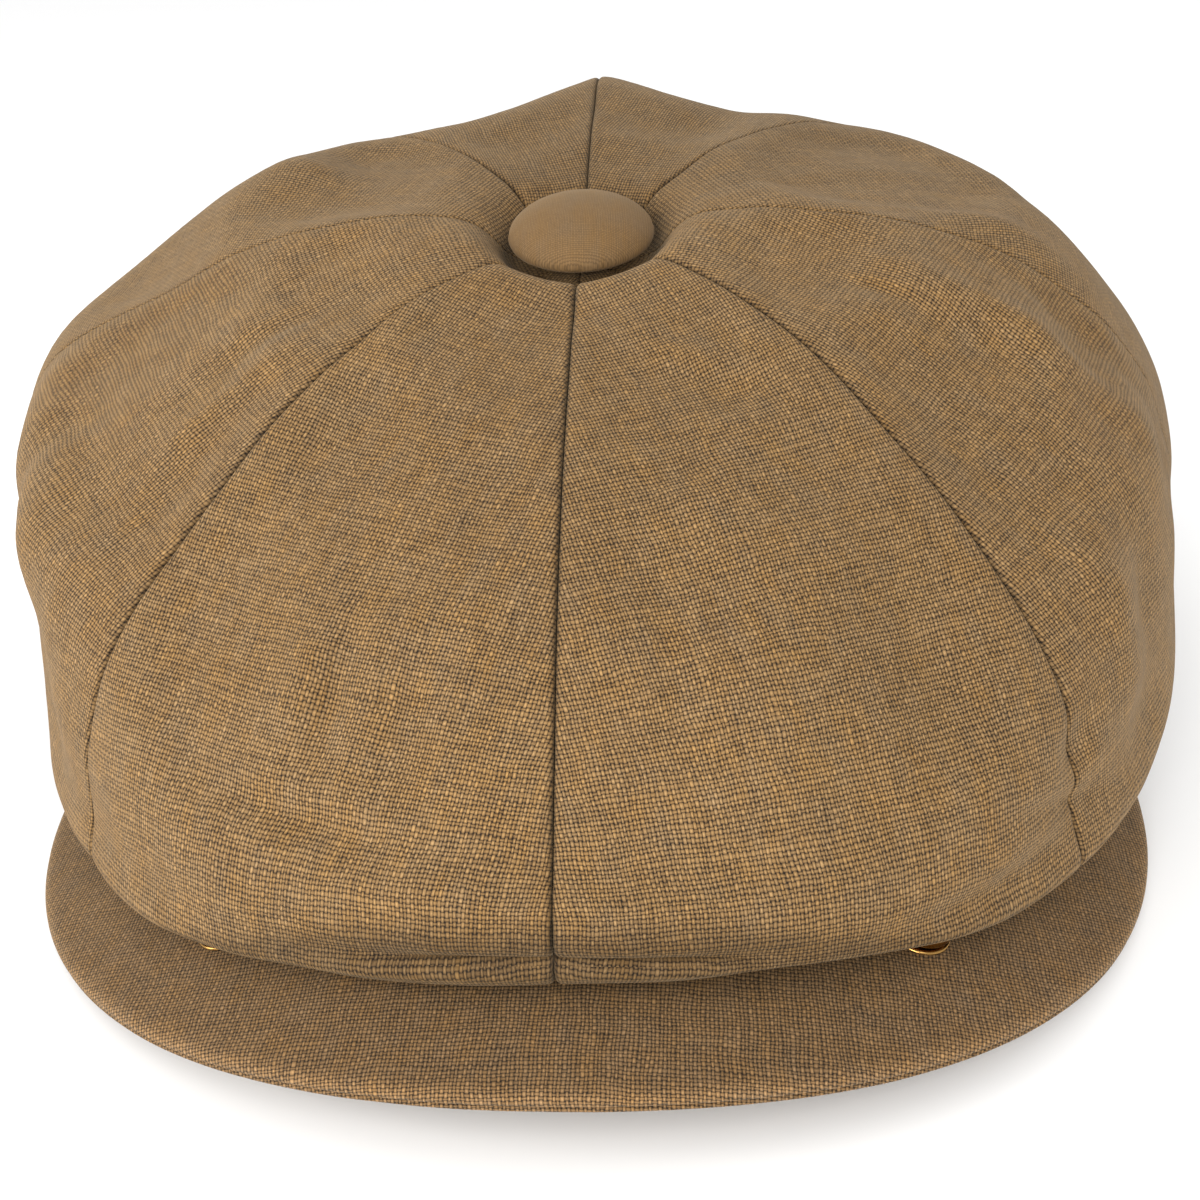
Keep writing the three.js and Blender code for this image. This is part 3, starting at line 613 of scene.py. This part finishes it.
def grosgrain(name, light, dark, rib=0.95):
    """Ribbed band: ribs run across the band (x is along it)."""
    N = Nodes(name)
    U, V, W = N.attr("weave")
    wob, _ = N.noise(N.vec(N.mul(U, 0.3), N.mul(V, 0.15), 1.0), 1.0, 2.0)
    h = N.m("ABSOLUTE", N.m("SINE", N.mul(N.add(U, N.mul(wob, 0.35)), math.pi / rib)))
    thread = N.m("SINE", N.mul(V, 2 * math.pi / 0.34))
    hh = N.add(h, N.mul(thread, 0.12))
    c, _ = N.noise(N.vec(N.mul(U, 0.5), N.mul(V, 0.5), 4.0), 1.0, 3.0)
    fac = N.add(N.mul(hh, 0.7), N.mul(N.sub(c, 0.5), 0.6))
    N.put(N.bsdf.inputs["Base Color"], N.mix(N.m("MULTIPLY_ADD", fac, 1.0, 0.0, clamp=True), dark, light))
    N.bsdf.inputs["Roughness"].default_value = 0.7
    N.bsdf.inputs["Sheen Weight"].default_value = 0.25
    N.put(N.bsdf.inputs["Normal"], N.bump(hh, 0.00018, 0.8))
    return N.mat


def brass(name):
    N = Nodes(name)
    n, _ = N.noise(N.obj(), 700.0, 4.0)
    tarn, _ = N.noise(N.obj(), 260.0, 3.0)
    N.put(N.bsdf.inputs["Base Color"], N.mix(tarn, srgb(128, 92, 46), srgb(186, 146, 84)))
    N.bsdf.inputs["Metallic"].default_value = 1.0
    N.put(N.bsdf.inputs["Roughness"], N.add(N.mul(n, 0.2), 0.1))
    N.put(N.bsdf.inputs["Normal"], N.bump(n, 0.00002, 0.4))
    return N.mat


M_LINING = twill("lining_twill", srgb(104, 84, 60), srgb(62, 48, 33))
M_SWEAT = grosgrain("sweatband_grosgrain", srgb(96, 76, 54), srgb(50, 38, 27))
M_BRASS = brass("brass")
M_TIN = plain("tinplate", (0.55, 0.55, 0.54), 0.35, 1.0)
M_BOARD = plain("visor_board", (0.035, 0.034, 0.033), 0.6)
M_THREAD = plain("thread", srgb(120, 92, 62), 0.7)

# ------------------------------------------------------------------ joint lines
PIV0 = (0, -0.0642, 0.032)
q0 = -(PIV0[1] * 1000 - SHIFT_Y) - 1.5 * PIV0[2] * 1000

# ------------------------------------------------------------------ crown panels
def flat_panel(k):
    """Lays a panel out flat, as it was cut, by relaxing a net of its own lengths: (rows in t, s) of (u, v) in mm."""
    nt, ns = 7, 24
    a, b = k * 45 * D2R, (k + 1) * 45 * D2R
    psi = np.linspace(a, b, nt)[:, None] + np.zeros((1, ns))
    sr = np.linspace(0.3, LAST, ns)[None, :] + np.zeros((nt, 1))
    P = crown(psi, sr, 0)
    uu = np.concatenate([np.zeros((1, ns)), np.cumsum(np.linalg.norm(np.diff(P, axis=0), axis=-1), 0)])
    uu = uu - uu[nt // 2][None, :]
    vv = np.concatenate([[0], np.cumsum(np.linalg.norm(np.diff(P[nt // 2], axis=0), axis=-1))])[None, :] + np.zeros((nt, 1))
    ids = np.arange(nt * ns).reshape(nt, ns)
    E = np.concatenate([np.stack([ids[:-1].ravel(), ids[1:].ravel()], -1), np.stack([ids[:, :-1].ravel(), ids[:, 1:].ravel()], -1),
                        np.stack([ids[:-1, :-1].ravel(), ids[1:, 1:].ravel()], -1), np.stack([ids[1:, :-1].ravel(), ids[:-1, 1:].ravel()], -1)])
    Pf = P.reshape(-1, 3)
    L = np.linalg.norm(Pf[E[:, 0]] - Pf[E[:, 1]], axis=-1)
    X = np.stack([uu.ravel(), vv.ravel()], -1)
    N, m = nt * ns, len(E)
    mid = ids[nt // 2]
    for _ in range(7):
        d = X[E[:, 0]] - X[E[:, 1]]
        ln = np.maximum(np.linalg.norm(d, axis=-1), 1e-9)
        g = d / ln[:, None] / np.sqrt(L)[:, None]
        J = np.zeros((m + len(mid) + 1, 2 * N))
        r = np.zeros(m + len(mid) + 1)
        i = np.arange(m)
        J[i, 2 * E[:, 0]], J[i, 2 * E[:, 0] + 1] = g[:, 0], g[:, 1]
        J[i, 2 * E[:, 1]], J[i, 2 * E[:, 1] + 1] = -g[:, 0], -g[:, 1]
        r[:m] = (ln - L) / np.sqrt(L)
        j = m + np.arange(len(mid))
        J[j, 2 * mid] = 0.3
        r[j] = 0.3 * X[mid, 0]
        J[-1, 2 * mid[0] + 1] = 1
        r[-1] = X[mid[0], 1]
        A = J.T @ J + 1e-4 * np.eye(2 * N)
        X = X - np.linalg.solve(A, J.T @ r).reshape(-1, 2)
    return X.reshape(nt, ns, 2)


FLAT = {}


def cut(k, psi, s):
    """Where a point of panel k lay in the flat cloth, mm, grain up the panel's middle."""
    m = k if k >= 0 else -k - 1
    if m not in FLAT:
        FLAT[m] = flat_panel(m)
    F = FLAT[m]
    t = (np.abs(psi) - m * 45 * D2R) / (45 * D2R)
    nt, ns = F.shape[:2]
    u, v = np.clip(t, 0, 1) * (nt - 1), (s - 0.3) / (LAST - 0.3) * (ns - 1)
    iu, iv = np.clip(np.floor(u).astype(int), 0, nt - 2), np.clip(np.floor(v).astype(int), 0, ns - 2)
    fu, fv = u - iu, v - iv
    G = np.pad(F, ((1, 1), (1, 1), (0, 0)))
    G[0], G[-1] = 2 * G[1] - G[2], 2 * G[-2] - G[-3]
    G[:, 0], G[:, -1] = 2 * G[:, 1] - G[:, 2], 2 * G[:, -2] - G[:, -3]
    w = [lambda f: 0.5 * (-f + 2 * f * f - f ** 3), lambda f: 0.5 * (2 - 5 * f * f + 3 * f ** 3),
         lambda f: 0.5 * (f + 4 * f * f - 3 * f ** 3), lambda f: 0.5 * (-f * f + f ** 3)]
    out = 0.0
    for a in range(4):
        for b in range(4):
            out = out + (w[a](fu) * w[b](fv))[..., None] * G[iu + a, iv + b]
    if k < 0:
        out = out * np.array([-1.0, 1.0])
    return out


PANELS = [("front_right", 0), ("side_front_right", 1), ("side_back_right", 2), ("back_right", 3),
          ("back_left", -4), ("side_back_left", -3), ("side_front_left", -2), ("front_left", -1)]
NS, NT, NT_FRONT = ((144, 34, 58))
s_rows = np.concatenate([np.linspace(0.3, 2.2, int(NS * 0.2), endpoint=False), np.linspace(2.2, 7, int(NS * 0.36), endpoint=False), np.linspace(7, LAST, int(NS * 0.44))])


def panel_grid(k):
    a, b = k * 45 * D2R, (k + 1) * 45 * D2R
    tt = np.linspace(0, 1, 61)
    P = crown(a + (b - a) * tt[:, None], s_rows[None, :], 0)
    seg = np.linalg.norm(np.diff(P, axis=0), axis=-1)
    cum = np.concatenate([np.zeros((1, len(s_rows))), np.cumsum(seg, 0)])
    width = cum[-1]
    edge = np.array([0, 0.12, 0.28, 0.5, 0.8, 1.2, 1.8, 2.8, 4.4])
    grid_t, D = [], []
    nt = NT_FRONT if k in (0, -1) else NT
    for j in range(len(s_rows)):
        e = edge * min(1.0, width[j] / 16.0)
        d = np.concatenate([e, np.linspace(e[-1], width[j] - e[-1], nt + 2)[1:-1], (width[j] - e)[::-1]])
        grid_t.append(np.interp(d, cum[:, j], tt))
        D.append(d)
    t = np.array(grid_t).T
    d = np.array(D).T
    psi = a + (b - a) * t
    s = np.broadcast_to(s_rows[None, :], psi.shape)
    mid = crown(np.array([(a + b) / 2]), s_rows, 0)
    vlen = np.concatenate([[0], np.cumsum(np.linalg.norm(np.diff(mid, axis=0), axis=-1))])
    wu = d - width[None, :] / 2
    wv = np.broadcast_to(vlen[None, :], wu.shape)
    near = np.minimum(d, width[None, :] - d)
    return psi, s, near, wu, wv, width


def seam_dip(near, width, w=1.05, depth=1.25):
    x = np.clip(1 - near / w, 0, 1)
    k = np.minimum(1, width[None, :] / 16.0)
    return depth * (1 - np.sqrt(np.maximum(0, 1 - x * x))) * k


def seam_strength(deg, s):
    """How deep a seam is drawn in: the front one most, the side ones hardly."""
    a = abs(int(round(deg)))
    if a == 45:
        return 0.8 * (1 if deg > 0 else 0.3 + 0.7 * smooth(s, 2.6, 3.8))
    return {0: 1.0, 90: 0.28, 135: 0.2 + 0.6 * (1 - smooth(s, 1.8, 3.0)), 180: 0.75}[a] + 0 * s


def build_panel(name, k):
    psi, s, near, wu, wv, width = panel_grid(k)
    n = crown_normal(psi, s)
    first = (np.arange(psi.shape[0]) < psi.shape[0] / 2)[:, None]
    deep = np.where(first, seam_strength(k * 45, s), seam_strength((k + 1) * 45, s))
    outer = crown_fine(psi, s) - n * (seam_dip(near, width) * deep)[..., None]
    # the seam's two edges turn down side by side, a hair apart above and meeting below, so that nothing shows between them
    e = 1e-3
    along = unit(crown(psi + e, s, 0) - crown(psi - e, s, 0))
    push = np.zeros(psi.shape)
    push[0], push[-1] = 0.02 + 0.04 * deep[0], -0.02 - 0.04 * deep[-1]
    inner = outer - n * 1.1
    outer = outer + along * push[..., None]
    uv = cut(k, psi, s)
    weave = np.stack([uv[..., 0], uv[..., 1], np.full(wu.shape, 3.7 * k)], -1)
    # painted shade: the colour is darkened in the seam's groove and in the pinch round the button
    shade_and_wear = -0.5 * deep * np.exp(-(near / 0.55) ** 2) * smooth(s, 1.1, 1.8)
    shade_and_wear = shade_and_wear - (0.62 + 0.3 * np.cos(psi)) * np.exp(-((s - 1.14) / 0.15) ** 2)
    # painted shade under the turned hem, where the cloth faces down
    turn = 7.05 + 1.6 * smooth(np.abs(psi) / D2R, 9, 34)
    shade_and_wear = shade_and_wear - 0.38 * smooth(s, turn + 0.05, turn + 0.6)
    # a painted lighter band low on the front, and painted shade higher up the front
    shade_and_wear = shade_and_wear + 0.07 * bump(psi, s, 0, 6.3, 32, 0.9) - 0.05 * bump(psi, s, 0, 2.5, 36, 0.8)
    # painted shade: the back of the crown is made darker
    shade_and_wear = shade_and_wear - 0.19 * smooth(np.abs((psi + math.pi) % (2 * math.pi) - math.pi), 1.2, 2.4)
    ob = cloth("crown_cloth_" + name, outer, inner, weave, M_LINEN, shade_and_wear)
    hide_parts("crown_panel_" + name)
    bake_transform(ob)
    return ob


for nm, k in PANELS:
    build_panel(nm, k)

# ------------------------------------------------------------------ lining
LINE_DEPTH = 4.2


def within(psi, s, depth):
    w = smooth(s, 0.8, 2.6)[..., None]
    out = unit(np.array([0, 0, 1.0]) * (1 - w) + crown_normal(psi, s) * w)
    near = 1 - smooth(s, 5.6, 9.0)
    return crown(psi, s, 0) + crown_normal(psi, s) * (np.minimum(slack(psi, s), 0.4) * near)[..., None] - out * depth


def lining(psi, s):
    psi, s = np.broadcast_arrays(psi, s)
    leave = 5.45 - 1.05 * np.cos(psi)
    f = np.clip((s - leave) / (LAST - leave), 0, 1)[..., None]
    top, end = within(psi, leave, LINE_DEPTH), within(psi, np.full(psi.shape, float(LAST)), LINE_DEPTH)
    chord = end - top
    m0 = unit(top - within(psi, leave - 0.02, LINE_DEPTH)) * np.linalg.norm(chord, axis=-1, keepdims=True) * 0.8
    h = top * (2 * f ** 3 - 3 * f ** 2 + 1) + m0 * (f ** 3 - 2 * f ** 2 + f) + end * (3 * f ** 2 - 2 * f ** 3) + chord * (f ** 3 - f ** 2)
    return np.where((s <= leave)[..., None], within(psi, s, LINE_DEPTH), h)


def build_lining(name, k):
    a, b = k * 45 * D2R, (k + 1) * 45 * D2R
    ns, nt = ((90, 25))
    sr = np.linspace(0.5, LAST, ns)
    t = np.concatenate([[0, 0.008, 0.02, 0.045], np.linspace(0.07, 0.93, nt), [0.955, 0.98, 0.992, 1]])
    psi = (a + (b - a) * t)[:, None] + 0 * sr[None, :]
    s = np.broadcast_to(sr[None, :], psi.shape)
    P = lining(psi, s)
    e = 0.01
    n = unit(np.cross(lining(psi, np.minimum(s + e, LAST)) - lining(psi, s - e), lining(psi + e, s) - lining(psi - e, s)))
    slack = 0.55 * value_noise(P[..., 0] / 16, P[..., 1] / 16, P[..., 2] / 16, 21) + 0.3 * value_noise(P[..., 0] / 7, P[..., 1] / 7, P[..., 2] / 9, 22)
    slack = slack * smooth(s, 1, 3) * (1 - smooth(s, 10, 11))
    edge = np.minimum(t, 1 - t)[:, None] * np.ones_like(s)
    ridge = 0.5 * (1 - smooth(edge, 0, 0.03)) * smooth(s, 1, 3)
    mid = P + n * (slack + ridge)[..., None]
    e3 = 1e-3
    along = unit(crown(psi + e3, s, 0) - crown(psi - e3, s, 0))
    push = np.zeros(psi.shape)
    push[0], push[-1] = 0.08, -0.08
    mid = mid + along * push[..., None]
    arc = np.cumsum(np.linalg.norm(np.diff(P, axis=1, prepend=P[:, :1]), axis=-1), axis=1)
    wid = np.linalg.norm(P[0] - P[-1], axis=-1)
    wu = (t[:, None] - 0.5) * wid[None, :]
    weave = np.stack([wu, arc, np.full(wu.shape, 1.3 * k)], -1)
    ob = cloth("lining_cloth_" + name, mid + n * 0.25, mid - n * 0.25, weave, M_LINING)
    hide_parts("lining_panel_" + name)
    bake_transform(ob)


for nm, k in PANELS:
    build_lining(nm, k)

# ------------------------------------------------------------------ head band and sweatband
def rim_z(y):
    return 10 - (10 / 102) * y


NB = 320


def band_section(rx, ry, thick, low, high, roll, wob=0.0):
    """A folded band: rounded lower and upper edges, outer face first."""
    def fn(t):
        st, ct = math.sin(t), math.cos(t)
        pts = []
        hs = np.concatenate([np.linspace(low + roll, high - roll, 12)])
        o = [(0, h) for h in hs]
        for a in (30, 60, 90, 120, 150):
            o.append((thick / 2 - thick / 2 * math.cos(a * D2R), high - roll + roll * math.sin(a * D2R)))
        o += [(thick, h) for h in hs[::-1]]
        for a in (30, 60, 90, 120, 150):
            o.append((thick / 2 + thick / 2 * math.cos(a * D2R), low + roll - roll * math.sin(a * D2R)))
        for off, h in o:
            x, y = (rx - off) * st, -(ry - off) * ct
            w = wob * math.sin(7 * t + h * 0.1) * math.sin(3 * t + 1)
            pts.append((x + w * st, y - w * ct, rim_z(y) + h))
        return np.array(pts)
    return fn


def band_weave(rx, ry, fn_m):
    r = math.sqrt((rx * rx + ry * ry) / 2)
    hs = list(np.linspace(0, 26, 12)) + [26.4, 26.8, 27.2, 27.6, 28] + list(np.linspace(28.4, 54, 12)) + [54.4, 54.8, 55.2, 55.6, 56]
    return lambda t, j: (r * t, hs[j], 0.0)


hb = ring("hat_band_cloth", band_section(86, 102, 1.5, 0, 26, 0.7, 0.25), NB, M_LINEN, band_weave(86, 102, None))
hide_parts("head_band")
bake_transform(hb)
sb = ring("sweatband_ribbed", band_section(83.9, 99.9, 1.1, 0, 25, 0.55), NB, M_SWEAT, band_weave(83, 99, None))
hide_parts("sweatband")
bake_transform(sb)

# ------------------------------------------------------------------ visor
TAN5 = math.tan(5 * D2R)
VA, VB, VN, VF = 105.0, 97.6, 2.1, -156.0


def visor_z(x, y):
    return 20 + (y + 102) * TAN5 - x * x / 580


def outer_edge(t):
    s, u = np.sign(t), np.abs(t)
    th = np.clip(u / 0.84, 0, 1) * (math.pi / 2)
    x1, y1 = VA * np.sin(th) ** (2 / VN), VF + VB - VB * np.maximum(np.cos(th), 0) ** (2 / VN)
    al = np.clip((u - 0.84) / 0.16, 0, 1) * 72 * D2R
    x2, y2 = 79.5 + 25.5 * np.cos(al), VF + VB + 17.5 * np.sin(al)
    far = u > 0.84
    return np.where(far, x2, x1) * s, np.where(far, y2, y1)


def inner_edge(t, clear=0.5):
    th = t * 66.2 * D2R
    return (86 + clear) * np.sin(th), -(102 + clear) * np.cos(th)


def visor_piece(name, profile, cad, mat, nt):
    """profile: (inset mm, fraction or None at the edge, depth mm) loop, swept along the visor."""
    t = np.linspace(-1, 1, nt)
    ox, oy = outer_edge(t)
    ix, iy = inner_edge(t)
    L = np.hypot(ox - ix, oy - iy)
    m = len(profile)
    V = np.zeros((nt, m, 3))
    for j, (inset, frac, depth) in enumerate(profile):
        f = 1 - inset / L if frac is None else frac * (1 - inset / L)
        x, y = ix + (ox - ix) * f, iy + (oy - iy) * f
        V[:, j] = np.stack([x, y, visor_z(x, y) - depth], -1)
    relief_v = 0.16 * value_noise(V[..., 0] / 26, V[..., 1] / 26, V[..., 2] * 0 + 0.5, 31) + 0.07 * value_noise(V[..., 0] / 8, V[..., 1] / 8, V[..., 2] * 0 + 1.5, 32)
    V[..., 2] += relief_v
    faces = []
    for i in range(nt - 1):
        for j in range(m):
            l = (j + 1) % m
            faces.append((i * m + j, i * m + l, (i + 1) * m + l, (i + 1) * m + j))
    faces.append(tuple(range(m - 1, -1, -1)))
    faces.append(tuple((nt - 1) * m + j for j in range(m)))
    arc = V[..., 0] + V[..., 0] ** 3 / (6 * 290.0 ** 2)
    extra = np.array([0 if p[1] is not None else p[2] for p in profile])
    weave = np.stack([arc, V[..., 1] - extra[None, :] * np.sign(V[..., 1] * 0 + 1), np.full(arc.shape, 2.0)], -1)
    verts = to_world(V.reshape(-1, 3))
    if signed_volume(verts, faces) < 0:
        faces = [tuple(reversed(f)) for f in faces]
    rubbed = np.array([0.0 if p[1] is not None else 0.22 * math.exp(-((p[2] - 1.1) / 0.8) ** 2) for p in profile])
    ob = make_mesh(name, verts, faces, mat, weave.reshape(-1, 3), shade_and_wear=np.broadcast_to(rubbed, (nt, m)))
    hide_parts(cad)
    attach(ob, "visor")
    return ob


fr = list(np.linspace(0, 0.995, 30))
NV = 260
top = [(2.0, f, 0.0) for f in fr]
top += [(1.5, None, 0.03), (1.0, None, 0.14), (0.55, None, 0.36), (0.22, None, 0.68), (0.04, None, 1.1), (0.0, None, 1.5), (0.06, None, 1.95), (0.28, None, 2.3), (0.7, None, 2.45),
        (1.1, None, 2.2), (1.1, None, 1.5), (1.5, None, 1.05), (2.2, None, 0.9)]
top += [(2.4, f, 0.9) for f in fr[::-3]]
visor_piece("visor_top_cloth", top, "visor_top_cover", M_VISOR_SHADED, NV)
und = [(2.0, f, 4.0) for f in fr]
und += [(1.5, None, 3.97), (1.0, None, 3.85), (0.6, None, 3.62), (0.38, None, 3.3), (0.34, None, 2.95), (0.5, None, 2.66), (0.85, None, 2.56), (1.1, None, 2.75), (1.5, None, 3.05), (2.2, None, 3.15)]
und += [(2.4, f, 3.2) for f in fr[::-3]]
visor_piece("visor_under_cloth", und, "visor_under_cover", M_VISOR_SHADED, NV)

# ------------------------------------------------------------------ covered button
BTN = (0, APEX_Y - 0.6, 105.4)
BAX = (0, -math.sin(14 * D2R), math.cos(14 * D2R))


def gather(r, h, t):
    k = np.clip((r - 11.5) / 3, 0, 1) * (1 if h < 0.5 else 0.4)
    w = math.sin(19 * t + 1.3) * 0.5 + math.sin(31 * t) * 0.3 + math.sin(11 * t + 2) * 0.4
    return r + 0.10 * k * w, h + 0.05 * k * w


prof = [(0, 5.15)]
for r in [1.2, 2.4, 3.6, 4.8, 6, 7.2, 8.4, 9.5, 10.5, 11.4, 12.2, 12.8, 13.3, 13.7, 13.98, 14.17, 14.27]:
    prof.append((r * 0.962, -0.75 + 5.9 * (1 - (r / 14.3) ** 2.2) ** 0.6))
prof += [(13.76, -0.9), (13.72, -1.35), (13.5, -1.85), (13.0, -2.2), (12.1, -2.4), (11, -2.45), (11, -1.7), (12.9, -1.5), (13.25, -0.9), (12.95, -0.1), (11.2, 1.5), (8.2, 2.9), (4.2, 3.8), (0, 4.2)]
bt = turned("button_cloth", prof, BTN, BAX, M_BUTTON, 96, gather)
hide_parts("button_cover"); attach(bt, "cap_body")

# ------------------------------------------------------------------ press studs
for side, sx in (("left", -1), ("right", 1)):
    x, y = sx * 56.0, -118.5
    at = (x, y, visor_z(x, y))
    ax = (x / 290, -TAN5, 1)
    st = turned("stud_" + side, [
        (0, 0.3), (4.5, 0.3), (4.75, 0.38), (4.9, 0.55), (4.88, 0.72), (4.7, 0.9), (4.3, 1.0), (3.6, 0.98), (3.2, 0.9), (2.6, 0.95), (2.1, 1.1), (1.65, 1.35),
        (1.5, 1.6), (1.6, 1.8), (1.78, 2.0), (1.75, 2.2), (1.5, 2.45), (1.1, 2.58), (0, 2.6)], at, ax, M_BRASS, 56)
    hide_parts("snap_stud_" + side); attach(st, "visor")
    so = turned("socket_" + side, [
        (0, 2.95), (2.9, 2.95), (3.1, 2.8), (3.1, 1.85), (3.25, 1.65), (3.6, 1.58), (4.3, 1.62), (4.7, 1.8), (4.85, 2.1), (4.85, 3.0), (4.7, 3.35), (4.3, 3.6), (0, 3.6)], at, ax, M_BRASS, 56)
    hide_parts("snap_socket_" + side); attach(so, "crown_front")

# ------------------------------------------------------------------ carried-over CAD nodes
for node, mat in (("visor_board", M_BOARD), ("button_shell", M_TIN), ("button_back", M_TIN), ("button_washer", M_TIN)):
    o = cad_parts[node]
    o.data.materials.clear()
    o.data.materials.append(mat)

# ------------------------------------------------------------------ floor, light, camera
def emission_free(name, color, rough):
    N = Nodes(name)
    n, _ = N.noise(N.obj(), 3.0, 2.0)
    N.put(N.bsdf.inputs["Base Color"], N.mix(n, [c * 0.985 for c in color], color))
    N.bsdf.inputs["Roughness"].default_value = rough
    N.bsdf.inputs["Specular IOR Level"].default_value = 0.1
    return N.mat


fl = make_mesh("floor", [(-6, -6, -0.0005), (6, -6, -0.0005), (6, 6, -0.0005), (-6, 6, -0.0005)], [(0, 1, 2, 3)], emission_free("floor_pale", (0.97, 0.97, 0.97), 0.9), None, False)

world = bpy.data.worlds.new("soft_white")
bpy.context.scene.world = world
world.use_nodes = True
bg = world.node_tree.nodes["Background"]
bg.inputs[0].default_value = (1, 1, 1, 1)
bg.inputs[1].default_value = 1.0


def area(name, loc, target, size, power, color=(1, 1, 1)):
    l = bpy.data.lights.new(name, "AREA")
    l.energy, l.size, l.color = power, size, color
    l.shape = "DISK"
    o = bpy.data.objects.new(name, l)
    bpy.context.scene.collection.objects.link(o)
    o.location = loc
    o.rotation_mode = "QUATERNION"
    o.rotation_quaternion = (Vector(target) - Vector(loc)).to_track_quat("-Z", "Y")
    return o


area("key", (0.4, -0.9, 1.0), (0, -0.02, 0.05), 0.5, 2.8, (1.0, 0.985, 0.96))
area("fill", (-1.05, -0.45, 0.5), (0, 0, 0.06), 0.55, 7.0, (1.0, 0.985, 0.965))
area("front", (-0.25, -1.2, 0.38), (0, 0, 0.05), 0.7, 10.5, (1.0, 0.985, 0.96))

F_PX = 1500.0
C = np.array([22.3, -309.6 + SHIFT_Y, 170.0]) * MM
yaw, el, roll = -4.411 * D2R, 26.762 * D2R, -2.547 * D2R
fwd = np.array([math.sin(yaw) * math.cos(el), math.cos(yaw) * math.cos(el), -math.sin(el)])
right = np.array([math.cos(yaw), -math.sin(yaw), 0.0])
up = np.cross(right, fwd)
r2 = right * math.cos(roll) + up * math.sin(roll)
u2 = -right * math.sin(roll) + up * math.cos(roll)
cam_data = bpy.data.cameras.new("camera")
cam = bpy.data.objects.new("camera", cam_data)
bpy.context.scene.collection.objects.link(cam)
from mathutils import Matrix
cam.matrix_world = Matrix((
    (r2[0], u2[0], -fwd[0], C[0]), (r2[1], u2[1], -fwd[1], C[1]), (r2[2], u2[2], -fwd[2], C[2]), (0, 0, 0, 1)))
cam_data.sensor_width = 36.0
cam_data.lens = 36.0 * F_PX / 1200.0
cam_data.clip_start, cam_data.clip_end = 0.01, 50
bpy.context.scene.camera = cam
bpy.context.scene.view_settings.view_transform = "Standard"

bpy.context.view_layer.update()
